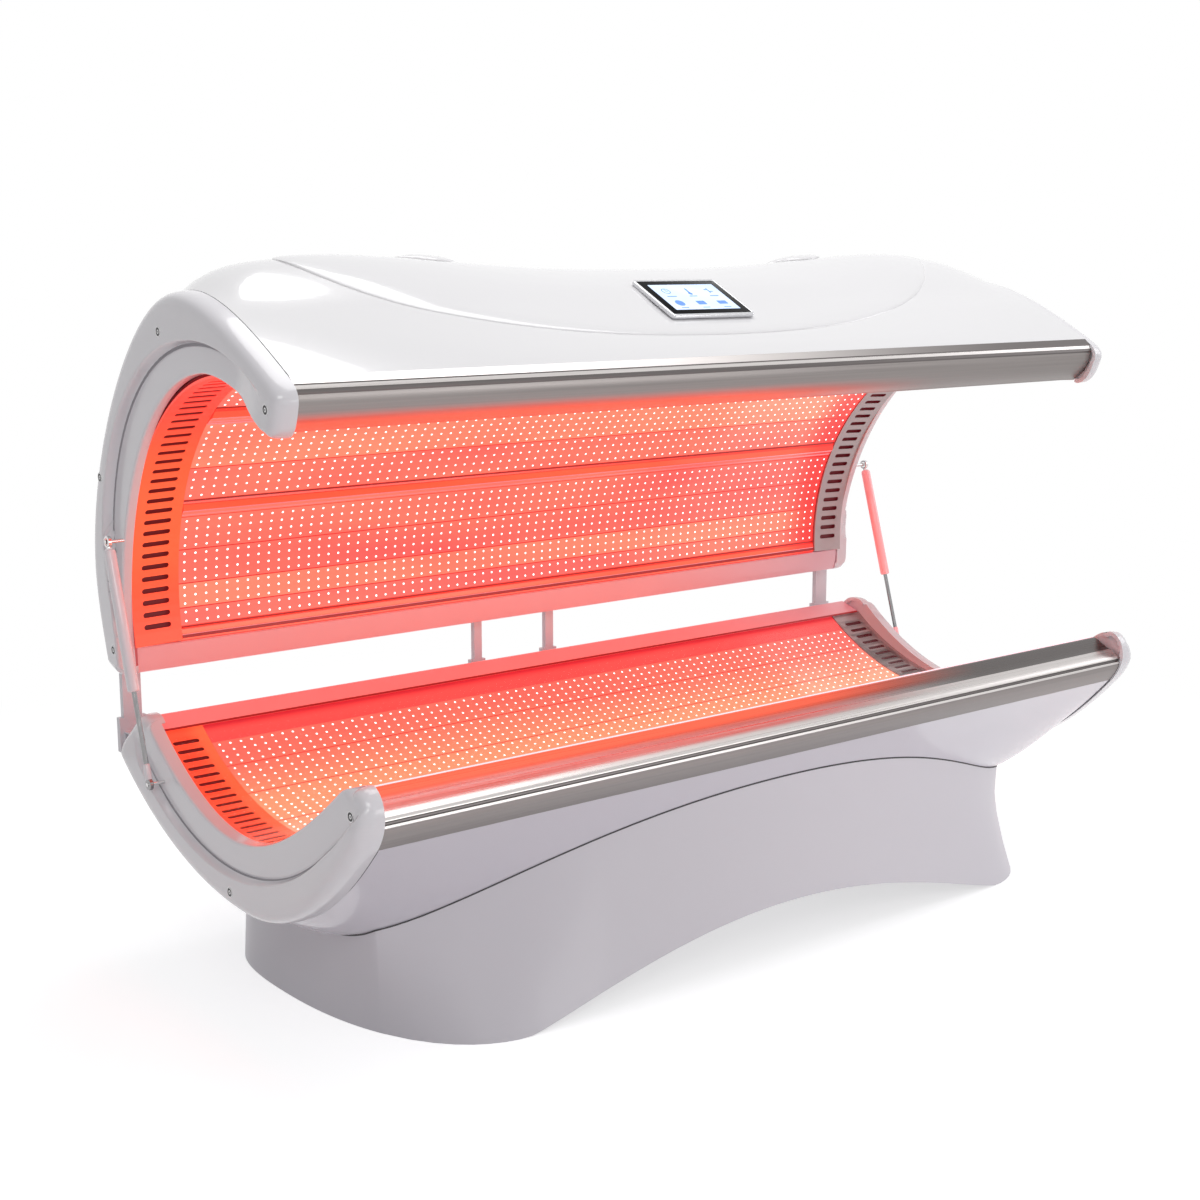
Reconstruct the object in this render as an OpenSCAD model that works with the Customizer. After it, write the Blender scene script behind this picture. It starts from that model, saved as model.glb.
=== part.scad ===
// Light therapy bed: a lying tub on a moulded plinth and a canopy that swings up on rear posts.
// Millimetres. X runs along the bed, Y from the front to the rear, Z up from the floor.

/* [Bed length] */
// Length of the tub between its two end caps
tub_length = 2080; // [1880:10:2280]
// Length of the canopy between its end caps, along the rear lower edge
canopy_length = 2088; // [1888:8:2288]
// Angle by which the canopy's ends splay outwards towards the front, in degrees
canopy_splay = 2.06; // [1.5:0.02:2.5]
// Angle by which the canopy's ends lean outwards towards the top, in degrees
canopy_lean = 1.95; // [1.5:0.05:2.5]

/* [Tub] */
// Distance from the bed's middle plane to the lower edge of the tub's front rail
tub_front_reach = 500; // [490:1:515]
// Distance from the bed's middle plane to the tub's rear edge
tub_rear_reach = 438; // [430:1:446]
// Height of the lowest line of the tub above the floor
tub_low_z = 232; // [215:1:245]
// Height of the lower edge of the tub's front rail
tub_rim_z = 455; // [445:1:465]
// Radius of the rear half of the tub's underside
tub_under_radius = 862; // [840:2:880]
// Depth by which the tub's casing swells out below the profile of its ends
hull_swell = 68; // [60:2:72]
// Wall of the moulded casings
shell_wall = 4; // [3:0.5:5]
// Height of the lowest line of the lying surface
bed_low_z = 353; // [345:1:365]
// Radius of the rear half of the lying surface
bed_radius = 660; // [650:1:672]
// Distance from the middle plane to the rear edge of the lying surface
bed_rear_reach = 346; // [340:1:352]
// Height of the tub's steel front rail
tub_rail_height = 97; // [90:1:102]
// Distance from the front rail's lower edge back to its top edge
tub_rail_lean = 54; // [48:1:60]

/* [Canopy] */
// Height of the canopy's ridge at its end caps
canopy_top_z = 1407; // [1390:1:1420]
// Extra height of the canopy's casing at mid length
saddle_lift = 28; // [20:1:36]
// Extra height of the two domes over the height at mid length
dome_lift = 36; // [26:1:42]
// Depth of the shallow hollow in the canopy's front slope, at mid length
front_hollow = 12; // [0:1:16]
// Radius of the light tunnel in the canopy
tunnel_radius = 538; // [532:1:544]
// Height of the centre of the light tunnel
tunnel_z = 717; // [712:1:722]
// Distance from the middle plane to the centre of the light tunnel, towards the front
tunnel_y = 112; // [108:1:116]
// Distance from the middle plane to the rearmost line of the canopy
canopy_rear_reach = 528; // [522:1:534]

/* [End caps] */
// Thickness of the raised outer band of the tub's end caps
tub_band = 57; // [50:1:60]
// Thickness of the recessed face of the tub's end caps
tub_web = 40; // [34:1:44]
// Thickness of the raised outer band of the canopy's end caps
canopy_band = 46; // [40:1:50]
// Thickness of the recessed face of the canopy's end caps
canopy_web = 26; // [20:1:30]
// Diameter of the screw heads in the end caps
screw_head = 13; // [10:1:16]

/* [Light panels] */
// Width of the slotted air grilles
grille_width = 104; // [90:1:114]
// Length of one air slot
slot_length = 60; // [45:1:70]
// Width of one air slot
slot_width = 11; // [8:0.5:13]
// Number of air slots in a tub grille
tub_slots = 30; // [20:1:32]
// Number of air slots in a canopy grille
canopy_slots = 29; // [20:1:32]
// Thickness of the light boards
board_t = 1.6; // [1:0.2:2.4]
// Thickness of the folded reflector sheet
sheet_t = 1.5; // [1:0.1:2]
// Thickness of the clear acrylic sheet
acrylic_t = 5; // [4:0.5:6]

/* [Hinge and gas struts] */
// Height of the canopy's hinge axis
hinge_z = 620; // [616:1:624]
// Distance from the canopy's lower rear edge back to the hinge axis
hinge_back = 56; // [54:1:58]
// Diameter of the hinge pins
pin_d = 8; // [6:0.5:9]
// Thickness of the hinge posts, front to rear
post_t = 14; // [12:1:15]
// Width of the end posts
post_w = 42; // [34:1:44]
// Distance from mid length to the plane of each gas strut
strut_x = 1112; // [1108:1:1140]
// Diameter of the gas strut's cylinder
strut_d = 24; // [20:1:26]
// Diameter of the gas strut's rod
rod_d = 10; // [8:1:12]
// Length of the gas strut's cylinder
strut_tube = 295; // [270:5:300]
// Diameter of the strut studs
stud_d = 8; // [6:0.5:9]

/* [Plinth] */
// Half the length of the plinth at the floor
plinth_half = 945; // [900:5:960]
// Distance from the middle plane to the plinth's front edge at the floor
plinth_front = 465; // [455:1:480]
// Rise of the arch under the plinth
arch_rise = 118; // [90:2:130]
// Half the span of the arch
arch_half = 690; // [640:5:720]
// Distance from the middle plane to the plinth's rear panel
panel_y = 330; // [320:2:340]

/* [Touchscreen] */
// Width of the touchscreen
screen_w = 233; // [200:1:250]
// Height of the touchscreen, along the slope
screen_h = 156; // [130:1:166]
// Thickness of the touchscreen's case
screen_t = 10; // [8:1:14]

/* [Fans] */
// Side of the tub's square fans
tub_fan = 92; // [80:2:96]
// Side of the canopy's square fans
canopy_fan = 120; // [110:2:126]
// Distance from mid length to the canopy's fans
canopy_fan_x = 530; // [480:10:580]
// Diameter of the outlet covers on the canopy
outlet_d = 190; // [170:5:200]

/* [Hidden] */

$fn = 48;
gap = 0.3;
snug = 0.02;
white = "#f1eff2";
steel = "#b9b3ae";
dark = "#3a3a3e";
glow = "#ff6a52";

// Curves in the (Y, Z) plane: every one is a list of [y, z] points
function bezier(p, n) = [for (i = [0 : n]) let (t = i / n)
    pow(1 - t, 3) * p[0] + 3 * pow(1 - t, 2) * t * p[1] + 3 * (1 - t) * t * t * p[2] + pow(t, 3) * p[3]];
function arc(c, r, a, b, n) = [for (i = [0 : n]) let (t = a + (b - a) * i / n) c + r * [cos(t), sin(t)]];
function tail(v) = [for (i = [1 : len(v) - 1]) v[i]];
function backwards(v) = [for (i = [len(v) - 1 : -1 : 0]) v[i]];
function some(v, a, b) = [for (i = [a : b]) v[i]];
function last(v) = v[len(v) - 1];
function heading(p, i) = let (d = p[min(i + 1, len(p) - 1)] - p[max(i - 1, 0)]) d / norm(d);
// The curve moved by d to the right of its own direction
function shifted(p, d) = [for (i = [0 : len(p) - 1]) p[i] + d * [heading(p, i)[1], -heading(p, i)[0]]];
function total(v) = v * [for (x = v) 1];
function turning(p) = sign(total([for (i = [0 : len(p) - 1]) cross(p[i], p[(i + 1) % len(p)])]));
function edge_normal(p, i) = let (d = p[(i + 1) % len(p)] - p[i]) [-d[1], d[0]] / norm(d);
// A closed outline moved inwards by d
function inset(p, d) = let (k = turning(p), n = len(p)) [for (i = [0 : n - 1])
    let (a = edge_normal(p, (i + n - 1) % n), b = edge_normal(p, i), m = (a + b) / norm(a + b))
    p[i] + k * d * m / max(m * a, 0.35)];
function smooth(t) = let (s = min(max(t, 0), 1)) s * s * (3 - 2 * s);

// Tub: the underside runs from the front to the rear, the lying surface from the rear to the front
tub_half = tub_length / 2;
tub_low_y = -115;
tub_under_end = asin((tub_rear_reach - tub_low_y) / tub_under_radius);
tub_curve = concat(
    bezier([[-tub_front_reach, tub_rim_z], [-tub_front_reach + 113, tub_rim_z - 127],
            [tub_low_y - 147, tub_low_z], [tub_low_y, tub_low_z]], 14),
    tail(arc([tub_low_y, tub_low_z + tub_under_radius], tub_under_radius, -90, tub_under_end - 90, 16)));
// The casing swells out below that curve, most of all under its middle
swell_shares = [for (p = tub_curve)
    [p[0], smooth((p[0] + tub_front_reach) / 260) * smooth((tub_rear_reach - p[0]) / 300)]];
function swell(x) = hull_swell * (1 - pow(min(abs(x) / tub_half, 1), 16));
function hull_z(x, y) = lookup(y, tub_curve) - swell(x) * lookup(y, swell_shares);
function hull_row(x, d) = let (c = shifted(tub_curve, d))
    [for (i = [0 : len(c) - 1]) [x, c[i][0], c[i][1] - swell(x) * swell_shares[i][1]]];
bed_low_y = -60;
bed_rear_angle = asin((bed_rear_reach - bed_low_y) / bed_radius);
rail_top = [-tub_front_reach + tub_rail_lean, tub_rim_z + tub_rail_height];
bed_front = rail_top + [1, -6];
bed_curve = concat(
    arc([bed_low_y, bed_low_z + bed_radius], bed_radius, bed_rear_angle - 90, -90, 17),
    tail(bezier([[bed_low_y, bed_low_z], [bed_low_y - 70, bed_low_z],
                 bed_front + [185, -131], bed_front], 17)));
bed_steps = len(bed_curve) - 1;
under = board_t + sheet_t;
grille_t = 2;
grille_proud = 10;
tub_grille_x = tub_half + grille_proud - grille_width;
tub_inner = shifted(tub_curve, -shell_wall);
bed_under = shifted(bed_curve, -under);
bed_top = shifted(bed_curve, grille_t + acrylic_t);

// Canopy: the casing runs from the rear to the front, the light surface from the front to the rear
canopy_half = canopy_length / 2;
tunnel_rear_angle = -6;
flare_y = round(tunnel_radius * cos(tunnel_rear_angle) - tunnel_y) + 8;
flare_z = round(tunnel_z + tunnel_radius * sin(tunnel_rear_angle));
hinge_y = flare_y + hinge_back;
canopy_rail_top = [-339, 1268];
canopy_foot = [hinge_y + 13, hinge_z + 5];
// Rear end, ridge and front edge of the casing at the end caps
canopy_curve = concat(
    bezier([canopy_foot, canopy_foot + [12, 55], [canopy_rear_reach, canopy_foot[1] + 115],
            [canopy_rear_reach, 805]], 5),
    tail(bezier([[canopy_rear_reach, 805], [canopy_rear_reach, 1055], [230, canopy_top_z],
                 [30, canopy_top_z]], 15)),
    tail(bezier([[30, canopy_top_z], [-85, canopy_top_z], [-215, 1340], canopy_rail_top], 10)));
tunnel = [-tunnel_y, tunnel_z];
slot_step = 2.77;
tunnel_steps = 36;
tunnel_front_angle = tunnel_rear_angle + tunnel_steps * slot_step;
tunnel_front = tunnel + tunnel_radius * [cos(tunnel_front_angle), sin(tunnel_front_angle)];
lip = canopy_rail_top + [26, -99];
light_curve = concat(
    bezier([lip, lip + [38, 54], tunnel_front + [-56, -4], tunnel_front], 8),
    tail(arc(tunnel, tunnel_radius, tunnel_front_angle, tunnel_rear_angle, tunnel_steps)));
light_steps = len(light_curve) - 1;
light_under = shifted(light_curve, -under);
light_grille_in = 98;
light_grille_out = grille_width - light_grille_in;

// How far out the end plane lies at a height and depth, and the casing's extra height
function end_x(y, z) = canopy_half + tan(canopy_splay) * (flare_y - y)
    + tan(canopy_lean) / cos(canopy_splay) * (z - flare_z);
function lift(s) = (saddle_lift + dome_lift * pow(sin(118 * abs(s)), 3)) * (1 - pow(abs(s), 20));
function lift_share(p) = smooth((p[0] + 150) / 250) * smooth((p[1] - 900) / 350);
function hollow(s, y) = front_hollow * pow(1 - s * s, 2) * pow(sin(180 * min(max((y + 339) / 280, 0), 1)), 2);
function crowned(p, s) = p + [0, lift(s) * lift_share(p) - (p[1] > 1200 ? hollow(s, p[0]) : 0)];
function canopy_section(s) = [for (p = canopy_curve) crowned(p, s)];
function skin(s, d) = let (c = shifted(canopy_section(s), d), e = shifted(canopy_curve, d))
    [for (i = [0 : len(c) - 1]) [s * end_x(e[i][0], e[i][1]), c[i][0], c[i][1]]];
// Height of the casing's outer face over a point of the plan
ridge_from = 12;
function roof_table(s) = let (c = canopy_section(s))
    [for (i = [len(c) - 1 : -1 : ridge_from]) c[i]];
function roof_z(x, y) = lookup(y, roof_table(x / end_x(y, canopy_top_z)));

// Plinth outlines over the fraction u of the half way round: front, end and rear parts
seam_drop = 2.2;
seam_front_y = 52 - tub_front_reach;
function plinth_top(u) = let (h = plinth_half - 40, r = plinth_half - 15, t = [h, -275])
    u <= 1 ? bezier([[0, seam_front_y], [h * 0.4, seam_front_y], [h * 0.7, -385], t], 1000)[round(u * 1000)] :
    u <= 2 ? bezier([t, t + [20, 7], [r, -150], [r, 60]], 1000)[round((u - 1) * 1000)] :
    bezier([[r, 60], [r, 190], [r - 30, panel_y], [r - 140, panel_y]], 1000)[round((u - 2) * 1000)];
foot_x = 652;
foot_y = 40;
foot_round = 0.87;
function foot_angle(x) = asin(pow((x - foot_x) / (plinth_half - foot_x), 1 / foot_round));
function plinth_side(a) = [foot_x + (plinth_half - foot_x) * pow(sin(a), foot_round),
    foot_y - (plinth_front + foot_y) * pow(cos(a), foot_round)];
function plinth_front_y(x) = x <= foot_x ? -plinth_front : plinth_side(foot_angle(x))[1];
turn_x = plinth_half * 0.95;
turn_angle = foot_angle(turn_x);
function plinth_floor(u) =
    u <= 1 ? let (x = plinth_top(u)[0] / plinth_top(1)[0] * turn_x) [x, plinth_front_y(x)] :
    u <= 2 ? plinth_side(turn_angle + (90 - turn_angle) * (u - 1)) :
    bezier([[plinth_half, foot_y], [plinth_half, 190], [plinth_half - 20, panel_y],
            [plinth_half - 155, panel_y]], 1000)[round((u - 2) * 1000)];
function arch_z(x) = arch_rise * pow(max(0, 1 - pow(x / arch_half, 2)), 1.25);
// A point of the plinth's outer face: u goes round, v goes down, side is 1 or -1
function plinth_at(u, v, side) = let (t = plinth_top(u), b = plinth_floor(u), f = pow(v, 1.15),
    p = t + (b - t) * f, zt = hull_z(t[0], t[1]) - seam_drop)
    [side * p[0], p[1], zt + (arch_z(b[0]) - zt) * v];

// Solids
module along_x(from, to) {
    translate([from, 0, 0]) rotate([90, 0, 90]) linear_extrude(to - from) children();
}
module both_sides() {
    children();
    mirror([1, 0, 0]) children();
}
module on_side(side) {
    if (side > 0) children();
    else mirror([1, 0, 0]) children();
}
module rod_x(x, y, z, d, length) {
    translate([x, y, z]) rotate([0, 90, 0]) cylinder(d = d, h = length);
}
module layer(curve, low, high, from, to) {
    polygon(concat(some(shifted(curve, low), from, to), backwards(some(shifted(curve, high), from, to))));
}
// A closed sheet between two grids of points with the same rows and columns
module sheet_between(a, b) {
    rows = len(a);
    cols = len(a[0]);
    n = rows * cols;
    function at(i, j) = i * cols + j;
    quads = concat(
        [for (i = [0 : rows - 2], j = [0 : cols - 2])
            [at(i, j), at(i + 1, j), at(i + 1, j + 1), at(i, j + 1)]],
        [for (i = [0 : rows - 2], j = [0 : cols - 2])
            [n + at(i, j), n + at(i, j + 1), n + at(i + 1, j + 1), n + at(i + 1, j)]],
        [for (i = [0 : rows - 2]) [at(i, 0), n + at(i, 0), n + at(i + 1, 0), at(i + 1, 0)]],
        [for (i = [0 : rows - 2])
            [at(i, cols - 1), at(i + 1, cols - 1), n + at(i + 1, cols - 1), n + at(i, cols - 1)]],
        [for (j = [0 : cols - 2]) [at(0, j), at(0, j + 1), n + at(0, j + 1), n + at(0, j)]],
        [for (j = [0 : cols - 2])
            [at(rows - 1, j), n + at(rows - 1, j), n + at(rows - 1, j + 1), at(rows - 1, j + 1)]]);
    polyhedron(points = concat([for (r = a) for (p = r) p], [for (r = b) for (p = r) p]),
               faces = [for (q = quads) for (k = [0, 1]) [q[0], q[1 + k], q[2 + k]]]);
}
// Rounded air slots, one in the middle of each step of a curve
module slots(curve, first, count, x_middle) {
    for (i = [first : first + count - 1]) {
        p = (curve[i] + curve[i + 1]) / 2;
        d = curve[i + 1] - curve[i];
        translate([x_middle, p[0], p[1]]) rotate([atan2(d[1], d[0]), 0, 0]) {
            translate([-(slot_length - slot_width) / 2, -slot_width / 2, -10])
                cube([slot_length - slot_width, slot_width, 20]);
            for (s = [-1, 1]) translate([s * (slot_length - slot_width) / 2, 0, -10])
                cylinder(d = slot_width, h = 20);
        }
    }
}
module grille(curve, from, to, first, count) {
    flange = 3;
    difference() {
        along_x(from, to) layer(curve, 0, grille_t, 0, len(curve) - 1);
        slots(curve, first, count, (from + to) / 2);
    }
    along_x(from, from + flange) layer(curve, -under, 0, 0, len(curve) - 1);
    along_x(to - flange, to) layer(curve, -under, 0, 0, len(curve) - 1);
}

// Tub
hull_half_at = [1, 0.975, 0.95, 0.92, 0.88, 0.83, 0.76, 0.66, 0.5, 0.25];
hull_at = concat(-tub_half * hull_half_at, [0], tub_half * backwards(hull_half_at));
module tub_shell() {
    color(white) sheet_between(
        [for (x = hull_at) hull_row(x, 0)], [for (x = hull_at) hull_row(x, -shell_wall)]);
}
tub_rail_outline = concat(
    [tub_curve[0], [-tub_front_reach - 18, tub_rim_z + 25], [-tub_front_reach - 25, tub_rim_z + 47],
     [-tub_front_reach - 22, tub_rim_z + 56], [-tub_front_reach - 14, tub_rim_z + 59],
     rail_top + [-12, -8], rail_top, rail_top + [6, 1]],
    [bed_top[bed_steps], bed_under[bed_steps], tub_inner[0]]);
rail_wall = 3;
module tub_front_rail() {
    color(steel) along_x(-tub_half, tub_half) difference() {
        polygon(tub_rail_outline);
        polygon(inset([tub_inner[0], tub_rail_outline[2], tub_rail_outline[5], bed_under[bed_steps]],
            rail_wall));
    }
}
beam_y = tub_rear_reach + 3;
ledge = [beam_y - 46, bed_curve[0][1] + 24];
tub_rear_outline = concat(
    [last(tub_curve), [beam_y, last(tub_curve)[1] + 3], [beam_y, ledge[1] - 41], ledge,
     bed_top[0] + [4, 2], bed_top[0]],
    [bed_under[0], last(tub_inner)]);
module tub_rear_rail() {
    color(white) along_x(-tub_half, tub_half) difference() {
        polygon(tub_rear_outline);
        polygon(inset([last(tub_inner), tub_rear_outline[2], ledge, bed_under[0]], rail_wall));
    }
}
rib_t = 12;
tub_rib_x = [-tub_grille_x, -tub_grille_x / 2, 0, tub_grille_x / 2, tub_grille_x];
fan_depth = 25;
tub_fan_y = bed_low_y;
tub_fan_z = (lookup(bed_low_y, tub_curve) + shell_wall + bed_low_z - under) / 2;
function tub_rib_outline(x) = concat(
    [for (i = [0 : len(tub_inner) - 1])
        tub_inner[i] - [0, (swell(abs(x) + rib_t / 2) - rib_clear) * swell_shares[i][1]]], bed_under);
module tub_ribs() {
    color("#c9c9cd") for (x = tub_rib_x) difference() {
        along_x(x - rib_t / 2, x + rib_t / 2) polygon(tub_rib_outline(x));
        rod_x(x - rib_t, tub_fan_y, tub_fan_z, tub_fan - 6, 2 * rib_t);
        rod_x(x - rib_t, bed_low_y + 190, tub_fan_z + 15, 70, 2 * rib_t);
    }
}
// The tub's end caps: outline, raised band and recessed face
cap_proud = 3;
cap_nose = [-tub_front_reach - 32, tub_rim_z + 60];
cap_tip = [-tub_front_reach - 2, tub_rim_z + 117];
cap_bottom = [-46, bed_low_z + 13];
cap_ear = [bed_rear_reach + 4, ledge[1] + 18];
tub_cap_inner = concat(
    bezier([cap_ear + [-47, -28], [200, cap_bottom[1] + 59], [80, cap_bottom[1]], cap_bottom], 10),
    tail(bezier([cap_bottom, [-170, cap_bottom[1]], bed_front + [145, -106], bed_front + [10, 1]], 12)));
tub_cap_rear = [[beam_y - gap, last(tub_curve)[1] + 10], [beam_y - 3, ledge[1] - 43],
    [beam_y - 31, ledge[1] - 19], cap_ear + [28, -7], cap_ear, cap_ear + [-25, -9]];
tub_cap_front = [cap_tip + [20, -4], cap_tip, cap_tip + [-20, -12], cap_tip + [-31, -32], cap_nose,
    cap_nose + [10, -35]];
tub_cap_outline = concat(shifted(tub_curve, cap_proud), tub_cap_rear, tub_cap_inner, tub_cap_front);
step_r = tub_under_radius - 288;
step_rise = 69;
step_c = [-40, tub_low_z + step_rise + step_r];
tub_step = arc(step_c, step_r, -40, -143, 22);
tub_band_outline = concat(shifted(tub_curve, cap_proud), some(tub_cap_rear, 0, 2), tub_step,
    [cap_nose + [4, 14], cap_nose, cap_nose + [10, -35]]);
tub_screws = [[bed_rear_reach - 4, ledge[1] - 32], [tub_low_y + 61, tub_low_z + 36],
    [-tub_front_reach + 16, tub_rim_z + 66]];
function screw_seat(i) = tub_half + (i == 0 ? grille_proud : 0);
function screw_depth(i) = tub_half + (i == 1 ? tub_band : tub_web) - screw_seat(i);
boss_d = 20;
module tub_end_cap(side) {
    color(white) on_side(side) difference() {
        union() {
            along_x(tub_half + grille_proud, tub_half + tub_web) polygon(tub_cap_outline);
            difference() {
                along_x(tub_half, tub_half + tub_band) polygon(tub_band_outline);
                along_x(tub_half - 1, tub_half + grille_proud) polygon(inset(tub_band_outline, shell_wall));
            }
            for (i = [1, 2]) rod_x(tub_half, tub_screws[i][0], tub_screws[i][1], boss_d, grille_proud + 1);
        }
        for (i = [0 : 2]) screw(screw_seat(i), tub_screws[i], screw_depth(i));
        strut_stud(tub_stud, tub_half + tub_web);
    }
}
// A countersunk cap screw: its head lies flush with a face that is depth out from the seat at x
screw_shank = 5;
head_t = 5;
module screw(x, p, depth) {
    rod_x(x, p[0], p[1], screw_shank, depth);
    rod_x(x + depth - head_t, p[0], p[1], screw_head, head_t + 0.5);
}
module socket_screw(x, p, depth) {
    difference() {
        screw(x, p, depth);
        translate([x + depth - 2, p[0], p[1]]) rotate([0, 90, 0])
            cylinder(d = screw_head * 0.45, h = 5, $fn = 6);
    }
}
module tub_cap_screws() {
    color("silver") both_sides() for (i = [0 : 2])
        socket_screw(screw_seat(i), tub_screws[i], screw_depth(i));
}
module tub_grille(side) {
    color("#e86a50") on_side(side)
        grille(bed_curve, tub_grille_x, tub_half + grille_proud, 1, tub_slots);
}
module tub_reflector() {
    color("#f4433c") along_x(-tub_grille_x, tub_grille_x)
        layer(bed_curve, -under, -board_t, 0, bed_steps);
}
module tub_board(from, to) {
    color(glow) along_x(-tub_grille_x + 2, tub_grille_x - 2) layer(bed_curve, -board_t, 0, from, to);
}
module tub_led_board_rear() { tub_board(2, 11); }
module tub_led_board_centre() { tub_board(11, 20); }
module tub_led_board_front() { tub_board(20, 31); }
module acrylic_sheet() {
    color("#ffffff", 0.3) along_x(-tub_half + 2, tub_half - 2)
        layer(bed_curve, grille_t, grille_t + acrylic_t, 1, bed_steps);
}

// Fans: a square frame with a hub and struts, and a rotor that turns on its pin. Axis along Z
hub_d = 38;
fan_pin_d = 4;
module fan_frame(size) {
    bore = size - 6;
    difference() {
        translate([-size / 2, -size / 2, 0]) cube([size, size, fan_depth]);
        translate([0, 0, -1]) cylinder(d = bore, h = fan_depth + 2);
        for (x = [-1, 1], y = [-1, 1]) translate([x * (size / 2 - 5), y * (size / 2 - 5), -1])
            cylinder(d = 4, h = fan_depth + 2);
    }
    difference() {
        union() {
            cylinder(d = hub_d, h = 3);
            for (a = [45 : 90 : 315]) rotate([0, 0, a]) translate([hub_d / 2 - 2, -2, 0])
                cube([bore / 2 - hub_d / 2 + 3, 4, 3]);
        }
        translate([0, 0, -1]) cylinder(d = fan_pin_d, h = 5);
    }
    cylinder(d = fan_pin_d, h = fan_depth - 6);
}
module fan_rotor(size) {
    blade_tip = size / 2 - 3 - 2;
    difference() {
        union() {
            translate([0, 0, 3 + gap]) cylinder(d = hub_d, h = fan_depth - 5);
            for (a = [0 : 360 / 7 : 359]) rotate([0, 0, a]) translate([hub_d / 2 - 3, 0, fan_depth / 2 + 1])
                rotate([35, 0, 0]) translate([0, -9, -1]) cube([blade_tip - hub_d / 2 + 2, 18, 2]);
        }
        translate([0, 0, -1]) cylinder(d = fan_pin_d + 2 * gap, h = fan_depth - 5 + gap);
    }
}
tub_fan_x = tub_grille_x - rib_t / 2 - fan_depth;
module tub_fan_place(side) {
    on_side(side) translate([tub_fan_x + fan_depth, tub_fan_y, tub_fan_z]) rotate([0, -90, 0]) children();
}
module tub_fan_frames() {
    color(dark) for (side = [-1, 1]) tub_fan_place(side) fan_frame(tub_fan);
}
module tub_fan_rotor(side) {
    color(dark) tub_fan_place(side) fan_rotor(tub_fan);
}

// Hinge: a beam behind the tub, posts on it, pins through their ears
beam_depth = hinge_y - post_t / 2 - beam_y;
beam_low = 425;
beam_high = 470;
end_post_out = 1060;
end_post_in = end_post_out - post_w;
ear_t = 18;
post_top = hinge_z - 25;
middle_posts = [[-152, 22], [64, 24]];
module hinge_beam() {
    color(white) difference() {
        translate([-end_post_out, beam_y, beam_low])
            cube([2 * end_post_out, beam_depth, beam_high - beam_low]);
        translate([-end_post_out - 1, beam_y + 3, beam_low + 3])
            cube([2 * end_post_out + 2, beam_depth - 6, beam_high - beam_low - 6]);
        rod_y([gland_x, beam_y + beam_depth - 4, gland_z], gland_d, 6);
    }
}
module post(from, width, ear) {
    y = hinge_y - post_t / 2;
    difference() {
        union() {
            translate([from, y, beam_low]) cube([width, post_t, post_top - beam_low]);
            translate([from - 10, y, beam_low]) cube([width + 20, post_t, 75]);
            translate([from, y, post_top - 1]) cube([ear, post_t, hinge_z - post_top + 1]);
            rod_x(from, hinge_y, hinge_z, post_t, ear);
        }
        rod_x(from - 1, hinge_y, hinge_z, pin_d, ear + 2);
    }
}
module hinge_posts() {
    color(white) {
        both_sides() post(end_post_in, post_w, ear_t);
        for (p = middle_posts) post(p[0], p[1], p[1]);
    }
}
bracket_t = 10;
module hinge_pin(from, to) {
    rod_x(from, hinge_y, hinge_z, pin_d, to - from);
}
module hinge_pins() {
    color("silver") {
        both_sides() hinge_pin(end_post_in - bracket_t - 2, end_post_in + ear_t + 1);
        for (p = middle_posts) hinge_pin(p[0] - bracket_t - 2, p[0] + p[1] + bracket_t + 2);
    }
}
bracket_outline = [[hinge_y - 11, flare_z - 14], [hinge_y - 11, flare_z + 2], [hinge_y + 6, flare_z + 2],
    [hinge_y + 8, hinge_z + 4], [hinge_y + 8, hinge_z], [hinge_y - 8, hinge_z], [hinge_y - 8, hinge_z + 10]];
module hinge_bracket(from) {
    difference() {
        union() {
            along_x(from, from + bracket_t) polygon(bracket_outline);
            rod_x(from, hinge_y, hinge_z, 16, bracket_t);
        }
        rod_x(from - 1, hinge_y, hinge_z, pin_d + 2 * gap, bracket_t + 2);
    }
}
module canopy_hinge_brackets() {
    color(white) {
        both_sides() hinge_bracket(end_post_in - bracket_t - gap);
        for (p = middle_posts) {
            hinge_bracket(p[0] - bracket_t - gap);
            hinge_bracket(p[0] + p[1] + gap);
        }
    }
}
module rod_y(p, d, length) {
    translate(p) rotate([-90, 0, 0]) cylinder(d = d, h = length);
}
gland_x = -45;
gland_z = 450;
gland_d = 16;
module cable_gland_tub() {
    color(dark) translate([gland_x, beam_y + beam_depth - 3, gland_z]) rotate([-90, 0, 0]) difference() {
        union() {
            cylinder(d = gland_d, h = 4);
            translate([0, 0, 3]) cylinder(d = gland_d + 8, h = 8, $fn = 6);
        }
        translate([0, 0, -1]) cylinder(d = 9, h = 14);
    }
}

// Gas struts: the rod turns on the tub's stud, the cylinder slides on it and holds the canopy's stud
tub_stud = [251, 415];
canopy_stud = [396, 895];
strut_vector = canopy_stud - tub_stud;
strut_open = norm(strut_vector);
strut_angle = atan2(strut_vector[1], strut_vector[0]);
eye_t = 10;
eye_d = 24;
stud_end = strut_x + eye_t / 2 + 1;
stud_play = 3.9;
tube_from = 16;
rod_reach = 250;
module strut_stud(p, face) {
    rod_x(face - 18, p[0], p[1], stud_d, stud_end - face + 18);
}
module strut_studs_tub() {
    color("silver") both_sides() strut_stud(tub_stud, tub_half + tub_web);
}
module strut_studs_canopy() {
    color("silver") both_sides()
        strut_stud(canopy_stud, end_x(canopy_stud[0], canopy_stud[1]) + canopy_web);
}
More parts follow.
